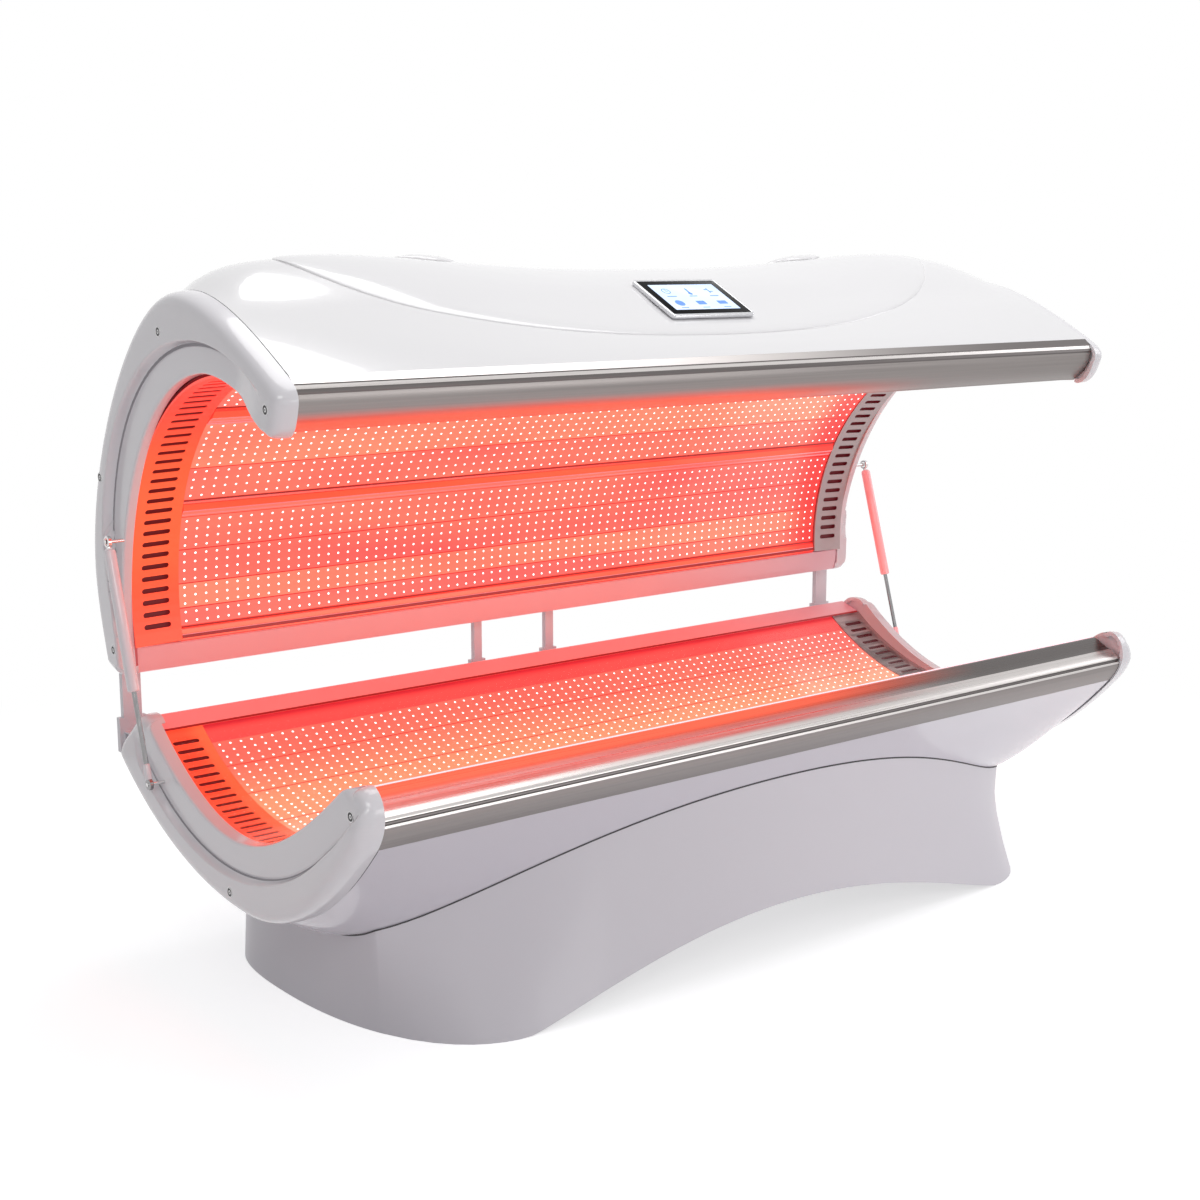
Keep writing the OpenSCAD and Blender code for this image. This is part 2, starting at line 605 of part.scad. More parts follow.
// Local frame of a strut: origin on the tub's stud, Z towards the canopy's stud
module along_strut(side) {
    translate([side * strut_x, tub_stud[0], tub_stud[1]]) rotate([strut_angle - 90, 0, 0]) children();
}
module eye(at, bore) {
    translate([-eye_t / 2, 0, at]) rotate([0, 90, 0]) difference() {
        cylinder(d = eye_d, h = eye_t);
        translate([0, 0, -1]) cylinder(d = bore, h = eye_t + 2);
    }
}
module strut_rod(side) {
    color("silver") along_strut(side) {
        difference() {
            union() {
                eye(0, stud_d + 2 * gap);
                translate([0, 0, eye_d / 2 - 1.5]) cylinder(d = 14, h = 30);
                translate([0, 0, eye_d / 2]) cylinder(d = rod_d, h = rod_reach - eye_d / 2);
            }
            translate([-eye_t, 0, 0]) rotate([0, 90, 0]) cylinder(d = stud_d + 2 * gap, h = 2 * eye_t);
        }
    }
}
module strut_cylinder(side) {
    eye_bore = stud_d + 2 * stud_play;
    color(white) along_strut(side) difference() {
        union() {
            eye(strut_open, eye_bore);
            translate([0, 0, strut_open - tube_from - strut_tube]) cylinder(d = strut_d, h = strut_tube);
            translate([0, 0, strut_open - tube_from - 1]) cylinder(d = eye_t, h = tube_from - eye_bore / 2);
        }
        translate([0, 0, strut_open - tube_from - strut_tube - 1])
            cylinder(d = rod_d + 2 * gap, h = strut_tube - 9);
    }
}

// Canopy
module canopy_end(side) {
    on_side(side) translate([canopy_half, flare_y, flare_z]) rotate([0, canopy_lean, canopy_splay])
        translate([0, -flare_y, -flare_z]) children();
}
// Long pieces between the end caps: drawn too long and cut along the splayed end planes
module canopy_long(out) {
    difference() {
        along_x(-canopy_half - 200, canopy_half + 200) children();
        for (side = [-1, 1]) canopy_end(side) translate([out, -700, 300]) cube([600, 1500, 1400]);
    }
}
skin_rows = 26;
skin_at = [for (i = [0 : skin_rows]) let (t = 2 * i / skin_rows - 1) (t + sin(90 * t)) / 2];
module canopy_shell() {
    color(white) sheet_between([for (s = skin_at) skin(s, 0)], [for (s = skin_at) skin(s, -shell_wall)]);
}
// The raised cover on the canopy's top, bounded by a long curved edge at the front
cover_half = 900;
cover_t = 6;
cover_middle_y = 50;
cover_front_reach = 308;
cover_rear_reach = 240;
function cover_share(x) = pow(max(1 - pow(abs(x) / cover_half, 2.2), 0.0004), 0.6);
function cover_row(x, h) = let (a = cover_middle_y - cover_front_reach * cover_share(x),
    b = cover_middle_y + cover_rear_reach * cover_share(x))
    [for (k = [0 : cover_cols]) let (y = a + (b - a) * k / cover_cols) [x, y, roof_z(x, y) + h]];
cover_clear = 1.9;
cover_rows = 36;
cover_cols = 20;
cover_at = [for (i = [0 : cover_rows]) cover_half * sin(90 * (2 * i / cover_rows - 1))];
module canopy_top_cover() {
    color(white) sheet_between(
        [for (x = cover_at) cover_row(x, cover_clear + cover_t)],
        [for (x = cover_at) cover_row(x, cover_clear)]);
}
canopy_inner = shifted(canopy_curve, -shell_wall);
rail_joint = gap * heading(canopy_curve, len(canopy_curve) - 1);
canopy_rail_outline = [canopy_rail_top + rail_joint, canopy_rail_top + [-16, -14],
    canopy_rail_top + [-22, -31],
    canopy_rail_top + [-18, -40], lip + [-14, 8], lip, light_under[0], last(canopy_inner) + rail_joint];
module canopy_front_rail() {
    color(steel) canopy_long(0) difference() {
        polygon(canopy_rail_outline);
        polygon(inset([last(canopy_inner), canopy_rail_outline[2], canopy_rail_outline[4], light_under[0]],
            rail_wall));
    }
}
rear_low = flare_z - 57;
canopy_rear_outline = [last(light_under), last(light_curve), last(light_curve) + [8, -4],
    [flare_y + 5, rear_low], [flare_y + 21, rear_low - 4], [flare_y + 25, rear_low + 4],
    [flare_y + 25, flare_z - 21], [hinge_y - 11, flare_z - 15], [hinge_y - 11, flare_z + 3]];
module canopy_rear_rail() {
    color(white) canopy_long(0) difference() {
        polygon(canopy_rear_outline);
        polygon(inset([last(light_under), canopy_rear_outline[3], canopy_rear_outline[5],
            [flare_y + 25, flare_z + 1]], rail_wall));
    }
}
canopy_rib_x = [-946, -canopy_fan_x + 120, 0, canopy_fan_x - 120, 946];
rib_clear = 1.2;
function rib_outline(x) = let (side_x = abs(x) + rib_t / 2,
    c = shifted([for (p = canopy_curve) crowned(p, side_x / end_x(p[0], p[1]))], -shell_wall - rib_clear))
    concat([for (p = some(c, 0, len(c) - 2)) if (p[1] > flare_z + 4) p], tail(light_under),
        [[hinge_y - 11, flare_z + 3]]);
module canopy_ribs() {
    color("#c9c9cd") for (x = canopy_rib_x) along_x(x - rib_t / 2, x + rib_t / 2) polygon(rib_outline(x));
}
module canopy_reflector() {
    color("#f4433c") canopy_long(-light_grille_in) layer(light_curve, -under, -board_t, 0, light_steps);
}
module canopy_board(from, to) {
    color(glow) canopy_long(-light_grille_in - 2) layer(light_curve, -board_t, 0, from, to);
}
function step_at(angle) = round(8 + (tunnel_front_angle - angle) / slot_step);
module canopy_led_board_lower() { canopy_board(step_at(23.5), step_at(-2.5)); }
module canopy_led_board_middle() { canopy_board(step_at(51.6), step_at(28.1)); }
module canopy_led_board_upper() { canopy_board(step_at(84.5), step_at(58.5)); }
module canopy_grille(side) {
    color("#e86a50") canopy_end(side)
        grille(light_curve, -light_grille_in, light_grille_out, light_steps - canopy_slots - 1, canopy_slots);
}
// End caps of the canopy, drawn with the end plane at X = 0
canopy_cap_tip = [lip + [-5, -6], lip + [-22, -6], lip + [-41, 9], lip + [-59, 53], lip + [-55, 71]];
heel_inner = [flare_y, flare_z - 4];
crown = [-50, tunnel_z + tunnel_radius + 3];
canopy_cap_inner = concat(
    bezier([heel_inner, heel_inner + [9, 243], crown + [315, -15], crown], 18),
    tail(bezier([crown, crown + [-90, 0], [-250, 1215], lip + [-5, 2]], 6)));
canopy_cap_heel = [[hinge_y - 7, rear_low + 10], [flare_y + 10, rear_low - 2], [flare_y, rear_low + 6]];
canopy_cap_outline = concat(backwards(canopy_curve), canopy_cap_heel, canopy_cap_inner, canopy_cap_tip);
// The step lies about a third of the way from the tunnel to the casing
tunnel_rear_y = tunnel_radius - tunnel_y;
canopy_step_y = tunnel_rear_y + (canopy_rear_reach - tunnel_rear_y) / 3 - 1;
canopy_step_c = [-45, 813];
canopy_step_r = canopy_step_y - canopy_step_c[0];
canopy_step = concat(
    arc(canopy_step_c, canopy_step_r, 12, 90, 12), tail(arc(canopy_step_c, canopy_step_r, 90, 121, 5)));
canopy_band_outline = concat(backwards(canopy_curve), canopy_cap_heel, [heel_inner, heel_inner + [9, 143]],
    canopy_step, canopy_cap_tip);
screw_low = [flare_y + 9, flare_z - 6];
canopy_screws = [[90, canopy_step_c[1] + canopy_step_r + 14], [canopy_step_y - 17, 1023], screw_low,
    lip + [-23, 45]];
canopy_recess = canopy_band - canopy_web;
module canopy_end_cap(side) {
    color(white) difference() {
        canopy_end(side) difference() {
            union() {
                along_x(light_grille_out, canopy_web) polygon(canopy_cap_outline);
                along_x(snug, light_grille_out + 1) difference() {
                    polygon(inset(canopy_band_outline, snug));
                    polygon(inset(canopy_band_outline, shell_wall));
                }
                along_x(canopy_web - 1, canopy_web + canopy_recess / 2)
                    polygon(inset(canopy_band_outline, 3));
                along_x(canopy_web, canopy_band) polygon(inset(canopy_band_outline, 12));
                for (p = canopy_screws) rod_x(0, p[0], p[1], boss_d, canopy_band);
            }
            for (p = canopy_screws) screw(0, p, canopy_band);
        }
        on_side(side) strut_stud(canopy_stud, end_x(canopy_stud[0], canopy_stud[1]) + canopy_web);
    }
}
module canopy_cap_screws() {
    color("silver") for (side = [-1, 1]) canopy_end(side)
        for (p = canopy_screws) socket_screw(0, p, canopy_band);
}

// Fans of the canopy, hung from the casing on four stand-offs, and their outlet covers
canopy_fan_y = 120;
canopy_fan_z = 1345;
standoff = canopy_fan / 2 - 5;
module canopy_fan_place(side) {
    on_side(side) translate([canopy_fan_x, canopy_fan_y, canopy_fan_z]) children();
}
module canopy_fan_frames() {
    color(dark) both_sides() {
        translate([canopy_fan_x, canopy_fan_y, canopy_fan_z]) fan_frame(canopy_fan);
        for (dx = [-1, 1], dy = [-1, 1]) {
            x = canopy_fan_x + dx * standoff;
            y = canopy_fan_y + dy * standoff;
            low = canopy_fan_z + fan_depth;
            translate([x, y, low]) cylinder(d = 8, h = roof_z(x, y) - shell_wall / cos(25) - 2.4 - low);
        }
    }
}
module canopy_fan_rotor(side) {
    color(dark) canopy_fan_place(side) fan_rotor(canopy_fan);
}
outlet_h = 14;
outlet_y = canopy_fan_y + 25;
function outlet_point(u, v, top) = let (
    x = outlet_d / 2 * u * sqrt(1 - v * v / 2), y = outlet_d / 2 * v * sqrt(1 - u * u / 2),
    r = min(1, norm([x, y]) * 2 / outlet_d), h = top ? 3 + (outlet_h - 3) * sqrt(1 - 0.98 * pow(r, 4)) : 0.6)
    [canopy_fan_x + x, outlet_y + y, roof_z(canopy_fan_x + x, outlet_y + y) + cover_clear + cover_t + h];
module fan_outlet_covers() {
    color(white) both_sides() sheet_between(
        [for (i = [0 : 12]) [for (j = [0 : 12]) outlet_point(i / 6 - 1, j / 6 - 1, true)]],
        [for (i = [0 : 12]) [for (j = [0 : 12]) outlet_point(i / 6 - 1, j / 6 - 1, false)]]);
}

// Touchscreen on the front slope of the canopy
screen_y = -137;
screen_slope = 27.2;
screen_z = 1372.9;
bezel_w = 8;
glass_t = 3;
corner_r = 8;
module plate(w, h, r, from, to) {
    translate([0, 0, from]) linear_extrude(to - from) union() {
        square([w - 2 * r, h], center = true);
        square([w, h - 2 * r], center = true);
        for (x = [-1, 1], y = [-1, 1]) translate([x * (w / 2 - r), y * (h / 2 - r)]) circle(r = r);
    }
}
module on_slope() {
    translate([0, screen_y, screen_z]) rotate([screen_slope, 0, 0]) children();
}
module screen_bezel() {
    color("silver") on_slope() difference() {
        plate(screen_w, screen_h, corner_r, 0, screen_t);
        plate(screen_w - 2 * bezel_w, screen_h - 2 * bezel_w, corner_r / 2, 2, screen_t + 1);
    }
}
module screen_glass() {
    color("#101216") on_slope() plate(screen_w - 2 * bezel_w - 0.4, screen_h - 2 * bezel_w - 0.4,
        corner_r / 2, screen_t - glass_t - 0.5, screen_t - 0.5);
}
module screen_board() {
    color("#1c6b3a") on_slope()
        plate(screen_w - 4 * bezel_w, screen_h - 4 * bezel_w, 2, 2, screen_t - glass_t - 0.5);
}

// Plinth
plinth_rows = 30;
plinth_cols = 6;
plinth_wall = 4;
plinth_us = [for (i = [-plinth_rows : plinth_rows]) 3 * i / plinth_rows];
function plinth_row(i, d) = [for (j = [0 : plinth_cols]) let (
    u = plinth_us[i], side = u < 0 ? -1 : 1, v = j / plinth_cols,
    p = plinth_at(abs(u), v, side), q = p - d * plinth_normal(abs(u), v, side))
    [q[0], q[1], min(q[2], hull_z(q[0], q[1]) - seam_drop)]];
function plinth_normal(u, v, side) = let (
    a = plinth_at(max(u - 0.02, 0), v, side), b = plinth_at(min(u + 0.02, 3), v, side), t = b - a,
    n = [t[1] * side, -t[0] * side, 0]) n / norm(n);
module base_front_shell() {
    color(white) sheet_between(
        [for (i = [0 : 2 * plinth_rows]) plinth_row(i, 0)],
        [for (i = [0 : 2 * plinth_rows]) plinth_row(i, plinth_wall)]);
}
panel_half = plinth_half - 155 - gap;
panel_t = 4;
module base_rear_panel() {
    top = hull_z(0, panel_y) - 6;
    color(white) difference() {
        translate([0, panel_y, 0]) rotate([90, 0, 0]) linear_extrude(panel_t)
            polygon(concat([for (i = [-16 : 16]) let (x = panel_half * i / 16) [x, arch_z(x)]],
                [[panel_half, top], [-panel_half, top]]));
        translate([inlet_x - inlet_w / 2 - gap, panel_y - panel_t - 1, inlet_z - inlet_h / 2 - gap])
            cube([inlet_w + 2 * gap, panel_t + 2, inlet_h + 2 * gap]);
    }
}
// Steel frame: cradles under the tub, two long tubes, cross tubes and legs
leg_x = plinth_half - 185;
cradle_x = [-leg_x, -300, 300, leg_x];
cradle_t = 30;
long_y = 150;
frame_y = 0;
tube = 40;
tube_z = tub_low_z - hull_swell - tube - 8;
foot_h = 22;
function cradle_curve(x) = [for (p = hull_row(abs(x) - cradle_t / 2, snug))
    if (abs(p[1] - frame_y) < 245) [p[1], p[2]]];
module base_frame() {
    color("#8d8f94") {
        for (x = cradle_x) let (c = cradle_curve(x)) along_x(x - cradle_t / 2, x + cradle_t / 2)
            polygon(concat(c, [[last(c)[0], tube_z + tube], [c[0][0], tube_z + tube]]));
        for (y = [frame_y - long_y, frame_y + long_y])
            translate([cradle_x[0] - cradle_t / 2, y - tube / 2, tube_z])
                cube([cradle_x[3] - cradle_x[0] + cradle_t, tube, tube]);
        for (x = [cradle_x[0], cradle_x[3]], y = [frame_y - long_y, frame_y + long_y])
            translate([x - tube / 2, y - tube / 2, foot_h]) cube([tube, tube, tube_z - foot_h]);
    }
}
module levelling_feet() {
    color(dark) for (x = [cradle_x[0], cradle_x[3]], y = [frame_y - long_y, frame_y + long_y])
        translate([x, y, 0]) {
            cylinder(d = 60, h = 8);
            cylinder(d = 12, h = foot_h);
            translate([0, 0, foot_h - 6]) cylinder(d = 22, h = 6, $fn = 6);
        }
}
shelf_z = tube_z + tube;
psu = [215, 115, 30];
module power_supplies() {
    color("#aeb0b4") for (x = [-600, -150, 440])
        translate([x - psu[0] / 2, frame_y + long_y - psu[1] / 2, shelf_z]) cube(psu);
}
module control_box() {
    color("#d8d8da") translate([90, frame_y + long_y - 50, shelf_z]) cube([150, 100, 32]);
}
inlet_x = plinth_half - 245;
inlet_z = 150;
inlet_w = 40;
inlet_h = 80;
rocker_z = inlet_z + 19;
module mains_inlet() {
    color(dark) translate([inlet_x, panel_y, inlet_z]) rotate([-90, 0, 0]) difference() {
        union() {
            translate([-inlet_w / 2 - 5, -inlet_h / 2 - 5, 0]) cube([inlet_w + 10, inlet_h + 10, 4]);
            translate([-inlet_w / 2, -inlet_h / 2, -30]) cube([inlet_w, inlet_h, 31]);
        }
        translate([-12, 4, -16]) cube([24, 26, 21]);
        translate([-10, -32, -5]) cube([20, 26, 10]);
    }
}
module power_switch_rocker() {
    color("#b01818") translate([inlet_x, panel_y + 2, rocker_z]) intersection() {
        rotate([0, 90, 0]) translate([0, 0, -10 + gap]) cylinder(r = 12.5, h = 20 - 2 * gap);
        translate([-10, -4.5, -12]) cube([20, 9.5, 24]);
    }
}
module cable_gland_canopy() {
    color(dark) translate([gland_x, flare_y + 25, rear_low + 22]) rotate([-90, 0, 0]) difference() {
        cylinder(d = gland_d, h = 8);
        translate([0, 0, 1]) cylinder(d = 9, h = 14);
    }
}

base_front_shell();
base_rear_panel();
base_frame();
levelling_feet();
tub_shell();
tub_front_rail();
tub_rear_rail();
tub_ribs();
tub_end_cap(-1);  // tub_end_cap_left
tub_end_cap(1);  // tub_end_cap_right
tub_grille(-1);  // tub_grille_left
tub_grille(1);  // tub_grille_right
tub_reflector();
tub_led_board_front();
tub_led_board_centre();
tub_led_board_rear();
acrylic_sheet();
tub_cap_screws();
tub_fan_frames();
tub_fan_rotor(-1);  // tub_fan_rotor_left
tub_fan_rotor(1);  // tub_fan_rotor_right
power_supplies();
control_box();
mains_inlet();
power_switch_rocker();
hinge_beam();
hinge_posts();
hinge_pins();
strut_studs_tub();
cable_gland_tub();
canopy_shell();
canopy_top_cover();
canopy_front_rail();
canopy_rear_rail();
canopy_ribs();
canopy_end_cap(-1);  // canopy_end_cap_left
canopy_end_cap(1);  // canopy_end_cap_right
canopy_grille(-1);  // canopy_grille_left
canopy_grille(1);  // canopy_grille_right
canopy_reflector();
canopy_led_board_lower();
canopy_led_board_middle();
canopy_led_board_upper();
canopy_hinge_brackets();
canopy_cap_screws();
canopy_fan_frames();
canopy_fan_rotor(-1);  // canopy_fan_rotor_left
canopy_fan_rotor(1);  // canopy_fan_rotor_right
fan_outlet_covers();
screen_bezel();
screen_glass();
screen_board();
strut_studs_canopy();
cable_gland_canopy();
strut_rod(-1);  // strut_rod_left
strut_rod(1);  // strut_rod_right
strut_cylinder(-1);  // strut_cylinder_left
strut_cylinder(1);  // strut_cylinder_right
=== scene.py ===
"""Looks of the light therapy bed. Lengths in millimetres until a mesh is made, angles in degrees."""
import math
from functools import partial

import bmesh
import bpy
import numpy as np
from mathutils import Matrix, Vector


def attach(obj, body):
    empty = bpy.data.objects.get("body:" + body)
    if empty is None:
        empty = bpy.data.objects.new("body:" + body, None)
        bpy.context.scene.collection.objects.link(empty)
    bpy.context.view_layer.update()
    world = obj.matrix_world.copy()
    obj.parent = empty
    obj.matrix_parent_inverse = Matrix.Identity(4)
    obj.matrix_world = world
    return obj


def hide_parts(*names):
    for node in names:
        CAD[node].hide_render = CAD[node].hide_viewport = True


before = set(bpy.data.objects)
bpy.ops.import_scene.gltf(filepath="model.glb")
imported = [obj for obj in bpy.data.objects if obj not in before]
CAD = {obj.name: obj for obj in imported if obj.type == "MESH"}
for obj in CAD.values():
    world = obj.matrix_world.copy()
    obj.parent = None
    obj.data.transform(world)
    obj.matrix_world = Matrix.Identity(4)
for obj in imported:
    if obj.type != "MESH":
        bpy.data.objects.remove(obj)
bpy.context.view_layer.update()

# ------ curves


def bezier_at(p, t):
    p = np.array(p, float)
    return (1 - t) ** 3 * p[0] + 3 * (1 - t) ** 2 * t * p[1] + 3 * (1 - t) * t * t * p[2] + t ** 3 * p[3]


def bezier(p, n):
    return bezier_at(p, np.linspace(0, 1, n + 1)[:, None])


def arc(c, r, a, b, n):
    t = np.radians(np.linspace(a, b, n + 1))
    return np.array(c, float) + r * np.stack([np.cos(t), np.sin(t)], 1)


def chain(*parts):
    out = [np.array(parts[0], float).reshape(-1, 2)]
    for part in parts[1:]:
        part = np.array(part, float).reshape(-1, 2)
        if np.linalg.norm(part[0] - out[-1][-1]) < 1e-6:
            part = part[1:]
        out.append(part)
    return np.concatenate(out)


def shifted(p, d):
    """The curve moved by d to the right of its own direction."""
    q = np.gradient(p, axis=0)
    q /= np.linalg.norm(q, axis=1)[:, None]
    return p + d * np.stack([q[:, 1], -q[:, 0]], 1)


def lengths(p):
    return np.concatenate([[0], np.cumsum(np.linalg.norm(np.diff(p, axis=0), axis=1))])


def at_length(p, s):
    run = lengths(p)
    return np.stack([np.interp(s, run, p[:, k]) for k in range(p.shape[1])], -1)


def normal_at(p, s):
    """The unit normal to the right of the curve's direction, at the length s."""
    return np.array([np.interp(s, lengths(p), n) for n in (shifted(p, 1) - p).T])


def smooth(t):
    t = np.clip(t, 0, 1)
    return t * t * (3 - 2 * t)


def distance(points, line):
    """Distance of each point to a polyline."""
    a, b = line[:-1], line[1:]
    d = b - a
    q = points.reshape(-1, 1, 2) - a
    t = np.clip((q * d).sum(2) / np.maximum((d * d).sum(1), 1e-9), 0, 1)
    return np.linalg.norm(q - t[..., None] * d, axis=2).min(1).reshape(points.shape[:-1])


TUB_HALF, CANOPY_HALF = 1040.0, 1044.0
TUB_CURVE = chain(
    bezier([(-500, 455), (-387, 328), (-262, 232), (-115, 232)], 28),
    arc((-115, 1094), 862, -90, math.degrees(math.asin(553 / 862)) - 90, 40))
BED_FRONT = np.array([-445.0, 546.0])
BED_CURVE = chain(
    arc((-60, 1013), 660, math.degrees(math.asin(406 / 660)) - 90, -90, 34),
    bezier([(-60, 353), (-130, 353), BED_FRONT + (185, -131), BED_FRONT], 34))
CANOPY_CURVE = chain(
    bezier([(500, 625), (512, 680), (528, 740), (528, 805)], 12),
    bezier([(528, 805), (528, 1055), (230, 1407), (30, 1407)], 44),
    bezier([(30, 1407), (-85, 1407), (-215, 1340), (-339, 1268)], 28))
TUNNEL, TUNNEL_R, FRONT_ANGLE = np.array([-112.0, 717.0]), 538.0, 93.72
TUNNEL_FRONT = TUNNEL + TUNNEL_R * np.array([f(math.radians(FRONT_ANGLE)) for f in (math.cos, math.sin)])
LIP = np.array([-313.0, 1169.0])
LIGHT_CURVE = chain(
    bezier([LIP, LIP + (38, 54), TUNNEL_FRONT + (-56, -4), TUNNEL_FRONT], 16),
    arc(TUNNEL, TUNNEL_R, FRONT_ANGLE, -6, 72))
SPLAY, LEAN, HEEL = math.radians(2.06), math.radians(1.95), (431, 661)
SIDES = ((-1, "left"), (1, "right"))


def end_x(y, z):
    """How far out the canopy's end plane lies."""
    return CANOPY_HALF + math.tan(SPLAY) * (HEEL[0] - y) + math.tan(LEAN) / math.cos(SPLAY) * (z - HEEL[1])


def lift(s):
    s = np.abs(s)
    return (28 + 36 * np.sin(np.radians(118 * s)) ** 3) * (1 - s ** 20)


def section(s):
    y, z = CANOPY_CURVE[:, 0], CANOPY_CURVE[:, 1]
    share = smooth((y + 150) / 250) * smooth((z - 900) / 350)
    dip = 12 * (1 - s * s) ** 2 * np.sin(np.radians(180 * np.clip((y + 339) / 280, 0, 1))) ** 2
    return np.stack([y, z + lift(s) * share - np.where(z > 1200, dip, 0)], 1)


def roof_z(x, y):
    c = section(x / end_x(y, 1407.0))
    top = c[np.argmax(c[:, 1] > 1150):][::-1]
    return float(np.interp(y, top[:, 0], top[:, 1]))


def swell(x):
    """How far the tub's casing swells out below its end profile."""
    return 68 * (1 - np.minimum(np.abs(x) / TUB_HALF, 1) ** 16)


HULL_SHARE = smooth((TUB_CURVE[:, 0] + 500) / 260) * smooth((438 - TUB_CURVE[:, 0]) / 300)


def hull_z(x, y):
    share = np.interp(y, TUB_CURVE[:, 0], HULL_SHARE)
    return float(np.interp(y, TUB_CURVE[:, 0], TUB_CURVE[:, 1]) - swell(x) * share)


def hull_row(x, d):
    c = shifted(TUB_CURVE, d)
    return np.column_stack([np.full(len(c), x), c[:, 0], c[:, 1] - swell(x) * HULL_SHARE])


END = (Matrix.Translation((CANOPY_HALF, *HEEL)) @ Matrix.Rotation(SPLAY, 4, "Z")
       @ Matrix.Rotation(LEAN, 4, "Y") @ Matrix.Translation((0, -HEEL[0], -HEEL[1])))


def canopy_end(p, side):
    """Points given with the end plane at X = 0, put on one end of the canopy."""
    m = np.array(END)
    q = p @ m[:3, :3].T + m[:3, 3]
    q[..., 0] *= side
    return q


def tub_end(p, side):
    q = p + np.array([TUB_HALF, 0, 0])
    q[..., 0] *= side
    return q


# ------ meshes


def piece(name, verts, faces, mat, body, stands_for=(), crease=30, mats=None, bevel=0):
    """One visible object. Where mat is a list, mats gives each face's place in it."""
    mesh = bpy.data.meshes.new(name)
    mesh.from_pydata([tuple(v) for v in np.asarray(verts, float) / 1000], [], [list(f) for f in faces])
    bm = bmesh.new()
    bm.from_mesh(mesh)
    if mats is not None:
        for f, k in zip(bm.faces, mats):
            f.material_index = k
    bmesh.ops.remove_doubles(bm, verts=bm.verts, dist=1e-5)
    bmesh.ops.dissolve_degenerate(bm, edges=bm.edges, dist=1e-6)
    bmesh.ops.recalc_face_normals(bm, faces=bm.faces)
    for f in bm.faces:
        f.smooth = True
    for e in bm.edges:
        e.smooth = len(e.link_faces) == 2 and e.calc_face_angle(0) < math.radians(crease)
    bm.to_mesh(mesh)
    bm.free()
    o = bpy.data.objects.new(name, mesh)
    bpy.context.scene.collection.objects.link(o)
    mats_in = mat if isinstance(mat, (list, tuple)) else [mat]
    for m in mats_in:
        mesh.materials.append(m)
    if bevel:
        b = o.modifiers.new("edge", "BEVEL")
        b.width = bevel / 1000
        b.segments = 3
        b.limit_method = "ANGLE"
        b.angle_limit = math.radians(crease)
        b.harden_normals = True
    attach(o, body)
    if stands_for:
        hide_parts(*stands_for)


def grid_faces(rows, cols, base=0, flip=False, wrap=False):
    out = []
    for i in range(rows - 1):
        for j in range(cols if wrap else cols - 1):
            k = (j + 1) % cols
            f = [base + i * cols + j, base + i * cols + k, base + (i + 1) * cols + k, base + (i + 1) * cols + j]
            out.append(f[::-1] if flip else f)
    return out


def border(rows, cols):
    """The places round the edge of a grid, in order."""
    return ([(0, j) for j in range(cols)] + [(i, cols - 1) for i in range(1, rows)]
            + [(rows - 1, j) for j in range(cols - 2, -1, -1)] + [(i, 0) for i in range(rows - 2, 0, -1)])


def slab(top, bottom):
    """A closed sheet between two grids of points."""
    r, c = top.shape[:2]
    n = r * c
    faces = grid_faces(r, c) + grid_faces(r, c, n, True)
    ring = [i * c + j for i, j in border(r, c)]
    for a, b in zip(ring, ring[1:] + ring[:1]):
        faces.append([a, a + n, b + n, b])
    return np.concatenate([top.reshape(-1, 3), bottom.reshape(-1, 3)]), faces


def prism(outline, half):
    """An outline in the (Y, Z) plane run along X, as far to both sides as half gives for each point."""
    n = len(outline)
    verts = [(side * half(p), p[0], p[1]) for side in (-1, 1) for p in outline]
    faces = [[i, (i + 1) % n, n + (i + 1) % n, n + i] for i in range(n)]
    return verts, faces + [list(range(n))[::-1], list(range(n, 2 * n))]


def merge(parts):
    verts, faces, n = [], [], 0
    for v, f in parts:
        v = np.asarray(v, float).reshape(-1, 3)
        verts.append(v)
        faces += [[n + i for i in face] for face in f]
        n += len(v)
    return np.concatenate(verts), faces


def lathe(profile, n=32, close=True):
    """(radius, height) pairs turned about Z."""
    a = np.linspace(0, 2 * math.pi, n, endpoint=False)
    verts = [(r * math.cos(t), r * math.sin(t), h) for r, h in profile for t in a]
    faces = grid_faces(len(profile), n, wrap=True)
    if close:
        faces += [list(range(n))[::-1], [(len(profile) - 1) * n + i for i in range(n)]]
    return np.array(verts), faces


def placed(part, matrix):
    v, f = part
    m = np.array(matrix)
    return np.asarray(v, float) @ m[:3, :3].T + m[:3, 3], f


def towards(point, axis):
    """Places a thing drawn along Z at a point, along an axis."""
    return Matrix.Translation(point) @ Vector(axis).to_track_quat("Z", "Y").to_matrix().to_4x4()


# ------ materials


def feed(tree, kind, values):
    """Sets inputs of a node, a new one unless the tree has it: each to a value or to the socket it comes from."""
    shader = tree.nodes.get(kind) or tree.nodes.new(kind)
    for key, value in values.items():
        if isinstance(value, bpy.types.NodeSocket):
            tree.links.new(value, shader.inputs[key])
        else:
            shader.inputs[key].default_value = value
    return shader


def blend(tree, low, high, factor):
    mix = tree.nodes.new("ShaderNodeMix")
    mix.data_type = "RGBA"
    for key, value in (("A", low), ("B", high), ("Factor", factor)):
        if isinstance(value, tuple):
            mix.inputs[key].default_value = (*value, 1)
        else:
            tree.links.new(value, mix.inputs[key])
    return mix.outputs["Result"]


def ramp(tree, value, start, end):
    soft = feed(tree, "ShaderNodeMapRange", {"Value": value, "From Min": start, "From Max": end})
    soft.interpolation_type = "SMOOTHSTEP"
    return soft.outputs[0]


def blank(name, slot=None):
    """A material, its node tree and the object's own coordinates in it."""
    m = bpy.data.materials.new(name)
    if slot:
        m["slot"] = slot
    m.use_nodes = True
    return m, m.node_tree, m.node_tree.nodes.new("ShaderNodeTexCoord").outputs["Object"]


